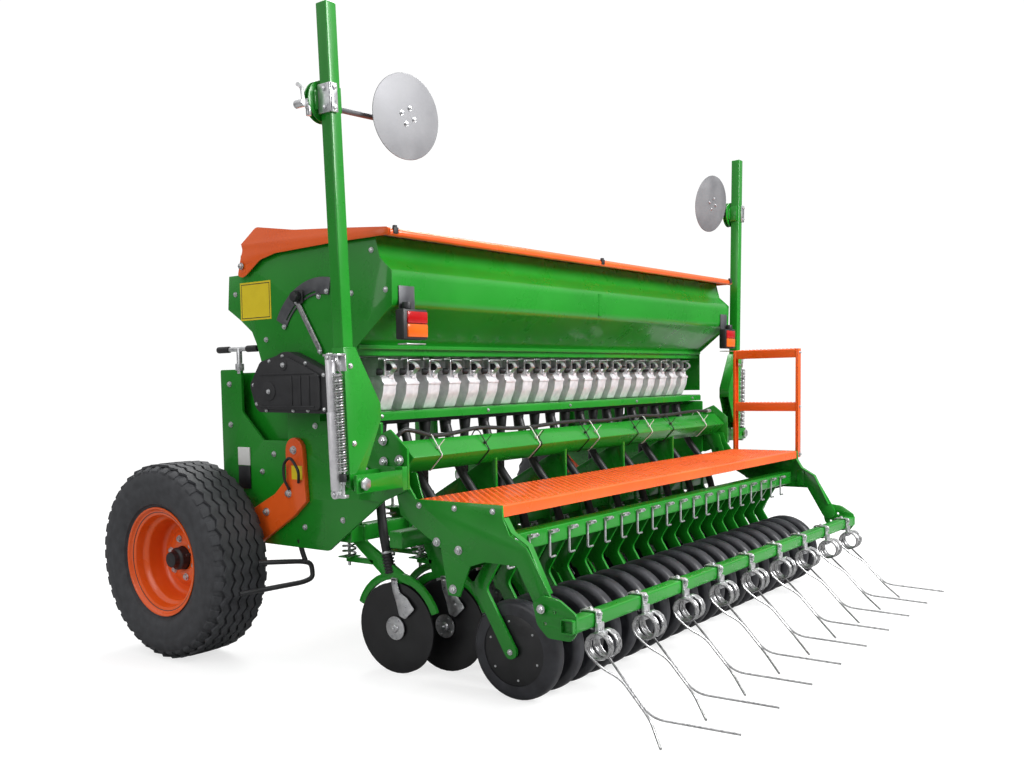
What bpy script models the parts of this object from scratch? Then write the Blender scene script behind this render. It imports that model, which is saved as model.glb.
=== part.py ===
"""Mounted seed drill: twenty rows of double disc openers with press wheels, seed hopper,
boarding platform, trailing tine harrow, two carrying wheels and two folded row markers.

Metres. +X is the machine's right, +Y its direction of travel, +Z up, the ground at z = 0.
Every named object is one solid of the machine.
"""
import math

import bmesh
import bpy
from mathutils import Matrix, Vector

# ---- driving dimensions -------------------------------------------------------------
ROWS = 20                     # seed rows
ROW_PITCH = 0.125             # distance from row to row
GAP = 0.0003                  # gap between pieces that touch
SIDES = (("left", -1), ("right", 1))

FRAME_X = ROWS * ROW_PITCH / 2 + 0.050    # outer face of the side frames
FRAME_T = 0.012               # side frame plate
HOPPER_X = FRAME_X + 0.062    # outer face of the hopper's end plates
END_T = 0.005                 # hopper end plate
SHEET = 0.003                 # hopper and lid sheet
PANEL_Y = -0.494              # upright rear panel of the hopper
LID_X = HOPPER_X + 0.018      # outer face of the lid's cheeks
HINGE_Y, HINGE_Z = 0.235, 1.500   # lid hinge
HINGE_PIN = 0.008
HINGE_BORE = HINGE_PIN + 0.0008

TYRE_R, TYRE_W = 0.380, 0.264
TYRE_X, TYRE_Y = FRAME_X + 0.170, 0.542
RIM_R = 0.190                 # bead seat of the rim
RIM_FLANGE = RIM_R + 0.023
AXLE_R = 0.030

BEAM_Y, BEAM_Z, BEAM_S = -0.450, 0.795, 0.080   # main beam, set on its corner
BEAM_END = FRAME_X - 0.020    # its half-length
CROSS_Y, CROSS_Z, CROSS_S = 0.420, 0.700, 0.100  # front cross tube

DISC_R = 0.166                # opener discs
FRONT_DISC_Y = -0.335
REAR_DISC_Y = -0.465
OPENER_BAR_Z, OPENER_BAR_S = 0.500, 0.060
FRONT_BAR_Y = -0.150
REAR_BAR_Y = -0.395

PRESS_R, PRESS_W = 0.167, 0.062
PRESS_Y = -0.865
PRESS_PIN = 0.015
PRESS_BORE = PRESS_PIN + 0.0008
PRESS_BEAM_Y, PRESS_BEAM_Z, PRESS_BEAM_S = -0.835, 0.520, 0.060
PRESS_KNEE_Y, PRESS_KNEE_Z = -0.745, 0.375      # bend of the press wheels' arms

BRACKET_T = 0.008
PLATFORM_X = FRAME_X + GAP + BRACKET_T          # outer face of the platform brackets
PLATFORM_FRONT, PLATFORM_REAR = -0.535, -0.890
PLATFORM_Z, PLATFORM_EDGE = 0.658, 0.040
PLATFORM_SHEET = 0.004
BEAM_PLATE_T = 0.010
BEAM_PLATE_X = PLATFORM_X + GAP + BEAM_PLATE_T  # outer face of the beam plates

LADDER_X = PLATFORM_X + 0.0417    # middle of the folded step
LADDER_FRONT, LADDER_REAR = -0.535, -0.885
LADDER_TOP, LADDER_MID = 1.185, 0.905
LADDER_Z = 0.638              # its hinge
LADDER_PIN = 0.008
LADDER_BORE = LADDER_PIN + 0.0008

HARROW_Y, HARROW_Z, HARROW_S = -1.148, 0.310, 0.045
HARROW_X = PLATFORM_X + 0.0397
HARROW_PIVOT_Y, HARROW_PIVOT_Z = -1.052, 0.352
HARROW_PIN = 0.012
HARROW_BORE = HARROW_PIN + 0.0008
TINES = 9
TINE_PITCH = 0.300
COIL_R = 0.045
TINE_WIRE = 0.005
TINE_DROP_Y = -1.360          # where a pair of tines parts near the ground
TINE_REACH = 0.240            # from there back to the long tip
MIDDLE_Y = (TYRE_Y + TYRE_R + TINE_DROP_Y - TINE_REACH) / 2   # midway between front and rear

MAST_X, MAST_Y, MAST_S = FRAME_X + 0.235, -0.450, 0.046
MAST_TOP, MAST_FOOT = 2.240, 1.170
GUSSET_X = FRAME_X + 0.100    # inner corner of the mast's foot
MARKER_PIVOT_Z = 0.730
MARKER_LEAN = 2.0             # a folded marker leans outward, degrees
MARKER_PIN = 0.015
MARKER_BORE = MARKER_PIN + 0.0008
MARKER_DISC_R, MARKER_DISC_T = 0.145, 0.004
MARKER_DISC_X, MARKER_DISC_Y = MAST_X - 0.310, -0.467
MARKER_DISC_Z = MAST_TOP - 0.283
MARKER_HEADING = {"left": 80.0, "right": 82.0}  # way each disc's hub faces, degrees from +X
MARKER_TILT = {"left": 1.0, "right": 8.0}       # and its rise above the level, degrees
STUB_R = 0.011
STUB_BORE = STUB_R + 0.0008

METER_Y, METER_Z = -0.229, 1.058
METER_W = 0.075
FLOOR_Z = 1.150               # hopper floor
METER_TOP, METER_BOTTOM = FLOOR_Z - SHEET / 2 - GAP, 0.952
CHANNEL_Z0, CHANNEL_Z1 = 0.918, 0.9517

OBJECTS = None
CUTTERS = None


# ---- scene and materials ------------------------------------------------------------
def clear_scene():
    for thing in list(bpy.data.objects):
        bpy.data.objects.remove(thing, do_unlink=True)


def collection(name):
    made = bpy.data.collections.new(name)
    bpy.context.scene.collection.children.link(made)
    return made


def material(name, colour, roughness, metallic=0.0):
    mat = bpy.data.materials.new(name)
    mat.use_nodes = True
    shader = mat.node_tree.nodes["Principled BSDF"]
    shader.inputs["Base Color"].default_value = (*colour, 1.0)
    shader.inputs["Roughness"].default_value = roughness
    shader.inputs["Metallic"].default_value = metallic
    return mat


# ---- shape helpers ------------------------------------------------------------------
def from_bmesh(bm, name="piece"):
    mesh = bpy.data.meshes.new(name)
    bm.to_mesh(mesh)
    bm.free()
    made = bpy.data.objects.new(name, mesh)
    CUTTERS.objects.link(made)
    return made


def box(x, y, z):
    """A block between the given (low, high) pairs."""
    bm = bmesh.new()
    bmesh.ops.create_cube(bm, size=1.0)
    for v in bm.verts:
        v.co = Vector([low + (c + 0.5) * (high - low) for c, (low, high) in zip(v.co, (x, y, z))])
    return from_bmesh(bm)


def frustum(start, end, r0, r1, sides=16):
    """A round bar or cone from start to end."""
    start, end = Vector(start), Vector(end)
    bm = bmesh.new()
    bmesh.ops.create_cone(bm, cap_ends=True, segments=sides, radius1=r0, radius2=r1,
                          depth=(end - start).length)
    turn = Vector((0, 0, 1)).rotation_difference(end - start).to_matrix().to_4x4()
    bmesh.ops.transform(bm, matrix=Matrix.Translation((start + end) / 2) @ turn, verts=bm.verts)
    return from_bmesh(bm)


def rod(start, end, r, sides=12):
    return frustum(start, end, r, r, sides)


def as_mesh(source, weld=1e-5):
    """The evaluated shape of a curve or modified object, as a plain welded mesh object."""
    depsgraph = bpy.context.evaluated_depsgraph_get()
    mesh = bpy.data.meshes.new_from_object(source.evaluated_get(depsgraph))
    bm = bmesh.new()
    bm.from_mesh(mesh)
    bmesh.ops.transform(bm, matrix=source.matrix_world, verts=bm.verts)
    bmesh.ops.remove_doubles(bm, verts=bm.verts, dist=weld)
    bpy.data.meshes.remove(mesh)
    bpy.data.objects.remove(source, do_unlink=True)
    return from_bmesh(bm)


PLANES = {"X": Matrix(((0, 0, 1), (1, 0, 0), (0, 1, 0))),
          "Y": Matrix(((1, 0, 0), (0, 0, -1), (0, 1, 0))),
          "Z": Matrix.Identity(3)}


def plate(outline, axis, low, high, holes=()):
    """A flat outline with thickness: (y, z) points for axis X, (x, z) for Y, (x, y) for Z."""
    curve = bpy.data.curves.new("outline", "CURVE")
    curve.dimensions = "2D"
    curve.fill_mode = "BOTH"
    curve.extrude = abs(high - low) / 2
    for ring in (outline, *holes):
        spline = curve.splines.new("POLY")
        spline.points.add(len(ring) - 1)
        for point, (a, b) in zip(spline.points, ring):
            point.co = (a, b, 0, 1)
        spline.use_cyclic_u = True
    made = bpy.data.objects.new("outline", curve)
    CUTTERS.objects.link(made)
    middle = {"X": (1, 0, 0), "Y": (0, 1, 0), "Z": (0, 0, 1)}[axis]
    made.matrix_world = (Matrix.Translation(Vector(middle) * (low + high) / 2)
                         @ PLANES[axis].to_4x4())
    bpy.context.view_layer.update()
    return as_mesh(made)


def arc(cx, cy, r, start, end, steps=8):
    """Points on an arc, angles in degrees."""
    span = [math.radians(start + (end - start) * i / steps) for i in range(steps + 1)]
    return [(cx + r * math.cos(a), cy + r * math.sin(a)) for a in span]


def tube(points, r, sides=8):
    """A bent round wire or hose through the points."""
    curve = bpy.data.curves.new("tube", "CURVE")
    curve.dimensions = "3D"
    curve.bevel_depth = r
    curve.bevel_resolution = max(0, sides // 2 - 2)
    curve.use_fill_caps = True
    spline = curve.splines.new("POLY")
    spline.points.add(len(points) - 1)
    for point, co in zip(spline.points, points):
        point.co = (*co, 1)
    made = bpy.data.objects.new("tube", curve)
    CUTTERS.objects.link(made)
    bpy.context.view_layer.update()
    return as_mesh(made)


def turned(profile, centre, steps=32):
    """A profile of (radius, x) points swept round the X axis through centre."""
    mesh = bpy.data.meshes.new("profile")
    edges = [(i, i + 1) for i in range(len(profile) - 1)]
    mesh.from_pydata([(r, 0, h) for r, h in profile], edges, [])
    made = bpy.data.objects.new("turned", mesh)
    CUTTERS.objects.link(made)
    screw = made.modifiers.new("turn", "SCREW")
    screw.steps = steps
    screw.render_steps = steps
    screw.use_merge_vertices = True
    screw.merge_threshold = 1e-5
    screw.use_normal_calculate = True
    made.matrix_world = (Matrix.Translation(Vector(centre))
                         @ Matrix.Rotation(math.radians(90), 4, "Y"))
    bpy.context.view_layer.update()
    return outward(as_mesh(made))


def outward(piece):
    """The same closed piece with all its faces pointing out."""
    bm = bmesh.new()
    bm.from_mesh(piece.data)
    bmesh.ops.recalc_face_normals(bm, faces=bm.faces)
    bm.to_mesh(piece.data)
    bm.free()
    return piece


def gather(pieces):
    """Pieces that don't touch each other, as one object."""
    bm = bmesh.new()
    for piece in pieces:
        bm.from_mesh(piece.data)
        bpy.data.objects.remove(piece, do_unlink=True)
    return from_bmesh(bm)


def combine(base, others, operation="UNION"):
    for other in others:
        step = base.modifiers.new("combine", "BOOLEAN")
        step.operation = operation
        step.solver = "EXACT"
        step.object = other
    bpy.context.view_layer.update()
    made = as_mesh(base)
    for other in others:
        bpy.data.objects.remove(other, do_unlink=True)
    return made


def cut(base, *others):
    return combine(base, others, "DIFFERENCE")


def weld(*pieces):
    return combine(pieces[0], pieces[1:])


def mirrored(piece, side):
    """The piece as drawn on the left, or its mirror image on the right."""
    if side > 0:
        bm = bmesh.new()
        bm.from_mesh(piece.data)
        for v in bm.verts:
            v.co.x = -v.co.x
        bmesh.ops.reverse_faces(bm, faces=bm.faces)
        bm.to_mesh(piece.data)
        bm.free()
    return piece


def part(piece, name, mat, origin=(0, 0, 0), smooth=False):
    """The finished piece: named, coloured, its origin at the given point.

    Lengths along Y are drawn from the hopper; here they are moved to the machine's middle.
    """
    piece.name = name
    piece.data.name = name
    piece.data.materials.append(mat)
    piece.data.transform(Matrix.Translation(-Vector(origin)))
    piece.location = Vector(origin) - Vector((0, MIDDLE_Y, 0))
    if smooth:
        piece.data.shade_smooth()
        piece.data.set_sharp_from_angle(angle=math.radians(35))
    CUTTERS.objects.unlink(piece)
    OBJECTS.objects.link(piece)
    return piece


def row_x(i):
    return (i - (ROWS - 1) / 2) * ROW_PITCH


# ---- frame --------------------------------------------------------------------------
def side_frame(side):
    outline = [(0.485, 1.117), (0.485, 0.600), (0.300, 0.440), (-0.100, 0.440), (-0.375, 0.640),
               (-0.375, CHANNEL_Z0 - GAP), (-0.110, CHANNEL_Z0 - GAP), (-0.110, 1.060), (0.100, 1.060),
               (0.100, 0.842), (0.243, 0.842), (0.360, 0.950), (0.360, 1.117)]
    web = plate(outline, "X", -FRAME_X, -FRAME_X + FRAME_T)
    lip = box((-FRAME_X + FRAME_T / 2, -FRAME_X + 0.10), (0.475, 0.485), (0.610, 1.117))
    spacer = box((-HOPPER_X + END_T + GAP, -FRAME_X + FRAME_T / 2), (-0.100, 0.050), (0.985, 1.045))
    return mirrored(weld(web, lip, spacer), side)


def front_crossbeam():
    inner = FRAME_X - FRAME_T - GAP
    return box((-inner, inner), (CROSS_Y - CROSS_S / 2, CROSS_Y + CROSS_S / 2 - 0.012),
               (CROSS_Z - CROSS_S / 2, CROSS_Z + CROSS_S / 2))


def headstock():
    """Three-point hitch: two lower clevises and the top-link mast, welded to a base plate."""
    front = CROSS_Y + CROSS_S / 2 - 0.013
    base = box((-0.48, 0.48), (front, front + 0.012), (CROSS_Z - 0.06, CROSS_Z + 0.06))
    lower = []
    for side in (-1, 1):
        for offset in (-0.040, 0.028):
            x = side * 0.412 + offset
            outline = [(front + 0.006, CROSS_Z + 0.05), (front + 0.006, CROSS_Z - 0.05),
                       (front + 0.05, 0.505), *arc(front + 0.125, 0.550, 0.045, -90, 90),
                       (front + 0.06, CROSS_Z + 0.05)]
            lower.append(plate(outline, "X", x, x + 0.012))
    pins = [rod((side * 0.412 - 0.045, front + 0.125, 0.550),
                (side * 0.412 + 0.045, front + 0.125, 0.550), 0.014) for side in (-1, 1)]
    mast = []
    for x in (-0.042, 0.030):
        outline = [(front + 0.006, CROSS_Z - 0.05), (front + 0.09, CROSS_Z - 0.05),
                   (front + 0.09, 1.02), *arc(front + 0.06, 1.160, 0.040, -20, 200),
                   (front + 0.006, CROSS_Z)]
        mast.append(plate(outline, "X", x, x + 0.012))
    top_pin = rod((-0.047, front + 0.06, 1.160), (0.047, front + 0.06, 1.160), 0.0127)
    return weld(front_crossbeam(), base, gather(lower), gather(pins), gather(mast), top_pin)


def main_beam():
    """The square beam on its corner, with the slanting arms that reach forward from it."""
    half = BEAM_S / math.sqrt(2)
    square = [(BEAM_Y + half, BEAM_Z), (BEAM_Y, BEAM_Z + half), (BEAM_Y - half, BEAM_Z),
              (BEAM_Y, BEAM_Z - half)]
    beam = plate(square, "X", -BEAM_END, BEAM_END)
    arms = []
    for x in (-0.75, -0.25, 0.25, 0.75):
        seat = OPENER_BAR_Z + OPENER_BAR_S / 2 + GAP
        outline = [(BEAM_Y - 0.02, BEAM_Z - 0.01), (BEAM_Y + 0.03, BEAM_Z - 0.045),
                   (FRONT_BAR_Y + 0.04, seat + 0.04), (FRONT_BAR_Y + 0.04, seat),
                   (REAR_BAR_Y - 0.035, seat), (REAR_BAR_Y - 0.075, 0.600)]
        arms.append(plate(outline, "X", x - 0.006, x + 0.006))
    return weld(beam, gather(arms))


def marker_bracket(side):
    """Plate that ties the main beam's end to the side frame, with the row marker's clevis and pin."""
    outline = [(-0.431, 0.893), (-0.510, 0.830), (-0.510, 0.760), (-0.510, 0.690), (-0.385, 0.640),
               (-0.280, 0.644), (-0.300, 0.760), (-0.341, 0.857)]
    web = plate(outline, "X", -BEAM_PLATE_X, -PLATFORM_X - GAP)
    beam_boss = box((-PLATFORM_X - GAP - 0.005, -BEAM_END - GAP), (-0.470, -0.400), (0.770, 0.820))
    frame_boss = rod((-PLATFORM_X - GAP - 0.005, -0.320, 0.744), (-FRAME_X - GAP, -0.320, 0.744), 0.030)
    base = box((-BEAM_PLATE_X - 0.024, -BEAM_PLATE_X + 0.004), (-0.5085, -0.3915), (0.690, 0.770))
    ears = [box((-MAST_X - 0.030, -BEAM_PLATE_X - 0.010), (y, y + 0.012),
                (MARKER_PIVOT_Z - 0.030, MARKER_PIVOT_Z + 0.030)) for y in (-0.508, -0.404)]
    pin = rod((-MAST_X, -0.515, MARKER_PIVOT_Z), (-MAST_X, -0.385, MARKER_PIVOT_Z), MARKER_PIN, 12)
    return mirrored(weld(web, beam_boss, frame_boss, base, gather(ears), pin), side)


# ---- hopper -------------------------------------------------------------------------
def bent_sheet(line, thickness, x):
    """A folded sheet: the section line thickened to one side and run along X."""
    mesh = bpy.data.meshes.new("line")
    bm = bmesh.new()
    for y, z in line:
        bm.verts.new((-x, y, z))
    bm.verts.ensure_lookup_table()
    edges = [bm.edges.new((bm.verts[i], bm.verts[i + 1])) for i in range(len(line) - 1)]
    swept = bmesh.ops.extrude_edge_only(bm, edges=edges)["geom"]
    for v in swept:
        if isinstance(v, bmesh.types.BMVert):
            v.co.x = x
    bm.to_mesh(mesh)
    bm.free()
    made = bpy.data.objects.new("sheet", mesh)
    CUTTERS.objects.link(made)
    wall = made.modifiers.new("wall", "SOLIDIFY")
    wall.thickness = thickness
    wall.offset = 0.0
    wall.use_even_offset = True
    bpy.context.view_layer.update()
    return outward(as_mesh(made))


def hopper_rear_wall():
    inner = HOPPER_X - END_T - GAP
    line = [(-0.395, 1.553), (-0.420, 1.553), (-0.443, 1.470), (PANEL_Y, 1.423), (PANEL_Y, 1.318),
            (-0.318, 1.190), (-0.318, FLOOR_Z)]
    return bent_sheet(line, SHEET, inner)


def hopper_front_wall():
    inner = HOPPER_X - END_T - GAP
    line = [(-0.316, FLOOR_Z), (-0.140, FLOOR_Z), (0.190, 1.250), (0.335, 1.345), (0.335, 1.469),
            (0.270, 1.469), (0.262, 1.545)]
    return bent_sheet(line, SHEET, inner)


def hopper_end(side):
    outline = [(0.337, 1.471), (0.349, 1.345), (0.281, 1.303), (0.214, 1.254), (0.188, 1.204),
               (0.158, 1.117), (0.158, 0.975), (-0.330, 0.975), (-0.330, 1.180), (-0.496, 1.314),
               (-0.499, 1.425), (-0.446, 1.473), (-0.424, 1.556), (-0.050, 1.590), (0.150, 1.600),
               (0.200, 1.545), (0.265, 1.545), (0.275, 1.471)]
    web = plate(outline, "X", -HOPPER_X, -HOPPER_X + END_T)
    pin = rod((-LID_X - 0.006, HINGE_Y, HINGE_Z), (-HOPPER_X + 0.002, HINGE_Y, HINGE_Z), HINGE_PIN, 12)
    return mirrored(weld(web, pin), side)


def hopper_lid():
    """Folded sheet with a cheek at each end that hangs outside the hopper on the hinge bolt."""
    span = LID_X - 0.001
    sheet = bent_sheet([(-0.503, 1.540), (-0.505, 1.5655), (-0.050, 1.6035), (0.153, 1.6355),
                        (0.241, 1.580)], SHEET, span)
    outline = [(0.264, 1.466), (0.244, 1.532), (0.231, 1.560), (0.2405, 1.5805), (0.153, 1.6365),
               (-0.050, 1.6045), (-0.503, 1.5665), (-0.503, 1.541), (-0.230, 1.540), (0.054, 1.532),
               (0.137, 1.515), (0.215, 1.466), (0.236, 1.457)]
    eye = arc(HINGE_Y, HINGE_Z, HINGE_BORE, 360, 15, 23)
    cheeks = [plate(outline, "X", low, low + 0.004, [eye]) for low in (-LID_X, LID_X - 0.004)]
    return weld(sheet, gather(cheeks))


# ---- metering and seed tubes --------------------------------------------------------
def metering_units():
    """Twenty outlet housings hung on the seed shaft."""
    housings = []
    for i in range(ROWS):
        x = row_x(i)
        outline = [(METER_Y - 0.075, METER_TOP), (METER_Y - 0.095, METER_Z),
                   (METER_Y - 0.060, METER_BOTTOM), (METER_Y + 0.040, METER_BOTTOM),
                   (METER_Y + 0.080, METER_Z + 0.010), (METER_Y + 0.080, METER_TOP)]
        housings.append(plate(outline, "X", x - METER_W / 2, x + METER_W / 2))
    reach = HOPPER_X - END_T - GAP
    shaft = rod((-reach, METER_Y, METER_Z), (reach, METER_Y, METER_Z), 0.012, 6)
    return weld(shaft, gather(housings))


def metering_channel():
    reach = HOPPER_X - END_T - GAP
    line = [(-0.335, CHANNEL_Z0), (-0.335, CHANNEL_Z1 - 0.002), (-0.130, CHANNEL_Z1 - 0.002),
            (-0.130, CHANNEL_Z0)]
    return bent_sheet(line, 0.004, reach)


def tube_route(i):
    """A seed tube from its outlet down to its opener: the even ones run between the two bars."""
    top, low = CHANNEL_Z0 - 0.012, 2 * DISC_R + 0.030
    if i % 2 == 0:
        route = [(-0.270, top), (-0.262, 0.750), (-0.260, 0.620), (-0.272, 0.500),
                 (FRONT_DISC_Y + 0.030, low)]
    else:
        route = [(-0.270, top), (-0.300, 0.800), (-0.345, 0.700), (-0.420, 0.610),
                 (REAR_BAR_Y - 0.072, 0.500), (REAR_DISC_Y - 0.030, low)]
    return [(row_x(i), y, z) for y, z in route]


def seed_tubes():
    """Twenty flexible tubes hung from the strip under the metering outlets."""
    tubes = [tube(tube_route(i), 0.018, 6) for i in range(ROWS)]
    strip = box((row_x(0) - 0.03, row_x(ROWS - 1) + 0.03), (-0.300, -0.240),
                (CHANNEL_Z0 - 0.014, CHANNEL_Z1 - 0.004 - GAP))
    return weld(strip, gather(tubes))


def gearbox_cover():
    outline = [(0.128, 0.954), (0.150, 0.970), (0.179, 1.055), (0.119, 1.139),
               *arc(-0.020, 1.080, 0.092, 60, 110, 4), (-0.120, 1.140), (-0.225, 1.095), (-0.225, 0.950)]
    return plate(outline, "X", -HOPPER_X - GAP - 0.062, -HOPPER_X - GAP)


def rate_quadrant():
    """The setting arc and the hand lever that swings along it."""
    hub_y, hub_z, radius, width = -0.162, 1.168, 0.262, 0.034
    low, high = -HOPPER_X - GAP - 0.005, -HOPPER_X - GAP
    ring = arc(hub_y, hub_z, radius, 30, 100, 10) + arc(hub_y, hub_z, radius - width, 100, 30, 10)
    band = plate(ring, "X", low, high)
    aim = math.radians(56)
    along = Vector((math.cos(aim), math.sin(aim)))
    across = Vector((-along.y, along.x)) * 0.011
    foot = Vector((hub_y, hub_z))
    tip = foot + along * 0.285
    corners = [foot - across, tip - across, tip + across, foot + across]
    lever = plate([tuple(c) for c in corners], "X", low - 0.006, low + 0.002)
    return weld(band, lever)


# ---- carrying wheels ----------------------------------------------------------------
def wheel_arm(side):
    """Arm with the stub axle; bolted to the side frame, carries the tyre scraper."""
    outline = [*arc(0.047, 0.810, 0.046, 0, 180, 8), (-0.010, 0.620), (0.060, 0.560), (0.470, 0.310),
               *arc(TYRE_Y, TYRE_R, 0.062, -80, 60, 8), (0.400, 0.520), (0.160, 0.640), (0.093, 0.700)]
    low = -FRAME_X - GAP - 0.022
    web = plate(outline, "X", low, -FRAME_X - GAP)
    axle = rod((low + 0.010, TYRE_Y, TYRE_R), (-TYRE_X - 0.030, TYRE_Y, TYRE_R), AXLE_R, 16)
    return mirrored(weld(web, axle), side)


def wheel_rim(side):
    """Pressed disc, hub and barrel with its two flanges."""
    seat, flange, lip = 0.100, 0.107, 0.113      # half-widths of the bead seat, flange and lip
    inner = RIM_R - 0.008
    bore = AXLE_R + 0.0008
    profile = [(bore, 0.020), (bore, -0.075), (0.070, -0.075), (0.070, -0.030), (0.160, -0.012),
               (inner, -0.050), (inner, -0.094), (RIM_FLANGE - 0.008, -lip), (RIM_FLANGE, -lip),
               (RIM_FLANGE, -flange), (RIM_R, -seat), (RIM_R, seat), (RIM_FLANGE, flange), (RIM_FLANGE, lip),
               (RIM_FLANGE - 0.008, lip), (inner, 0.094), (inner, 0.000), (0.160, 0.000), (0.070, -0.016),
               (0.070, 0.020), (bore, 0.020)]
    return mirrored(turned(profile, (-TYRE_X, TYRE_Y, TYRE_R), 24), side)


def tyre(side):
    half = TYRE_W / 2
    bead, lip = RIM_R + 0.0006, RIM_FLANGE + 0.0008
    crown = [(lip + 0.011, 0.120), (TYRE_R - 0.118, half - 0.002), (TYRE_R - 0.065, half),
             (TYRE_R - 0.028, half - 0.012), (TYRE_R - 0.008, half - 0.036), (TYRE_R, 0.060)]
    near = [(bead, 0.0990), (lip, 0.1060), *crown]
    profile = [*near, *[(r, -x) for r, x in reversed(near)], near[0]]
    return mirrored(turned(profile, (-TYRE_X, TYRE_Y, TYRE_R), 24), side)


# ---- openers and press wheels -------------------------------------------------------
def opener_row(first, disc_y, bar_y):
    """A rank of double disc openers on their carrying bar."""
    rows = range(first, ROWS, 2)
    arms = []
    discs = []
    for i in rows:
        x = row_x(i)
        outline = [(bar_y + 0.025, OPENER_BAR_Z + 0.020), (bar_y + 0.025, OPENER_BAR_Z - 0.050),
                   (disc_y + 0.020, DISC_R - 0.030), (disc_y - 0.020, DISC_R - 0.030),
                   (disc_y - 0.020, DISC_R + 0.030), (bar_y - 0.025, OPENER_BAR_Z - 0.020)]
        arms.append(plate(outline, "X", x - 0.022, x - 0.010))
        discs.append(turned([(0.0, -0.020), (DISC_R, -0.003), (DISC_R, 0.003), (0.0, 0.020)],
                            (x, disc_y, DISC_R), 16))
    reach = FRAME_X - 0.040
    half = OPENER_BAR_S / 2
    bar = box((-reach, reach), (bar_y - half, bar_y + half),
              (OPENER_BAR_Z - half, OPENER_BAR_Z + half))
    return weld(bar, gather(arms), gather(discs))


def press_frame():
    """Rear beam with a trailing arm and stub pin for every press wheel."""
    half = PRESS_BEAM_S / 2
    reach = PLATFORM_X - BRACKET_T - GAP
    beam = box((-reach, reach), (PRESS_BEAM_Y - half, PRESS_BEAM_Y + half),
               (PRESS_BEAM_Z - half, PRESS_BEAM_Z + half))
    arms = []
    pins = []
    for i in range(ROWS):
        x = row_x(i) - PRESS_W / 2 - 0.012
        outline = [(PRESS_BEAM_Y + 0.024, PRESS_BEAM_Z - 0.010),
                   (PRESS_KNEE_Y + 0.022, PRESS_KNEE_Z + 0.010),
                   (PRESS_KNEE_Y + 0.018, PRESS_KNEE_Z - 0.020),
                   *arc(PRESS_Y, PRESS_R, 0.022, -30, -210, 6),
                   (PRESS_KNEE_Y - 0.024, PRESS_KNEE_Z - 0.008),
                   (PRESS_BEAM_Y - 0.020, PRESS_BEAM_Z - 0.010)]
        arms.append(plate(outline, "X", x - 0.005, x + 0.005))
        pins.append(rod((x, PRESS_Y, PRESS_R), (row_x(i) + PRESS_W / 2, PRESS_Y, PRESS_R), PRESS_PIN, 8))
    return weld(beam, gather(arms), gather(pins))


def press_wheel(i):
    half = PRESS_W / 2
    shoulder = PRESS_R - 0.014
    profile = [(PRESS_BORE, half), (PRESS_BORE, -half), (shoulder, -half), (PRESS_R, -0.012),
               (PRESS_R, 0.012), (shoulder, half), (PRESS_BORE, half)]
    return turned(profile, (row_x(i), PRESS_Y, PRESS_R), 16)


# ---- platform, ladder, harrow -------------------------------------------------------
def platform():
    inner = PLATFORM_X - BRACKET_T - GAP
    line = [(PLATFORM_FRONT, PLATFORM_Z - PLATFORM_EDGE), (PLATFORM_FRONT, PLATFORM_Z - 0.002),
            (PLATFORM_REAR, PLATFORM_Z - 0.002), (PLATFORM_REAR, PLATFORM_Z - PLATFORM_EDGE)]
    return bent_sheet(line, PLATFORM_SHEET, inner)


def platform_bracket(side):
    """End plate that ties main beam, rear beam, platform and harrow arm together."""
    outline = [(-0.400, 0.745), (-0.445, 0.685), (-0.465, 0.600), (-0.597, 0.525), (-0.640, 0.500),
               (-0.668, 0.345), (-0.715, 0.345), (-0.760, 0.450), (-0.820, 0.470), (-0.945, 0.470),
               *arc(HARROW_PIVOT_Y, HARROW_PIVOT_Z, 0.034, -20, -200, 6), (-0.985, 0.530), (-0.920, 0.566),
               (-0.895, 0.617), (-0.893, 0.658), (-0.535, 0.658), (-0.505, 0.700), (-0.490, 0.745)]
    web = plate(outline, "X", -PLATFORM_X, -PLATFORM_X + BRACKET_T)
    pin = rod((-PLATFORM_X - 0.026, HARROW_PIVOT_Y, HARROW_PIVOT_Z),
              (-PLATFORM_X + 0.004, HARROW_PIVOT_Y, HARROW_PIVOT_Z), HARROW_PIN)
    bracket = mirrored(weld(web, pin), side)
    if side < 0:
        return bracket
    eye = arc(LADDER_X, LADDER_Z, LADDER_BORE, 360, 15, 23)
    lug = [(PLATFORM_X - 0.004, 0.620), (LADDER_X, 0.620), *arc(LADDER_X, LADDER_Z, 0.018, -60, 60, 4),
           (LADDER_X, 0.656), (PLATFORM_X - 0.004, 0.656)]
    lugs = [plate(lug, "Y", y, y + 0.008, [eye]) for y in (LADDER_REAR + 0.014, LADDER_FRONT - 0.022)]
    return weld(bracket, gather(lugs))


def ladder():
    """Two-step ladder, folded up beside the platform on its lower hinge."""
    stiles = [box((LADDER_X - 0.020, LADDER_X + 0.020), (y, y + 0.008), (LADDER_Z - 0.015, LADDER_TOP))
              for y in (LADDER_REAR, LADDER_FRONT - 0.008)]
    steps = [box((LADDER_X - 0.018, LADDER_X + 0.018), (LADDER_REAR + 0.004, LADDER_FRONT - 0.004),
                 (z - 0.045, z)) for z in (LADDER_TOP - 0.001, LADDER_MID)]
    pin = rod((LADDER_X, LADDER_REAR + 0.004, LADDER_Z), (LADDER_X, LADDER_FRONT - 0.004, LADDER_Z),
              LADDER_PIN)
    return weld(gather(steps), gather(stiles), pin)


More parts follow.
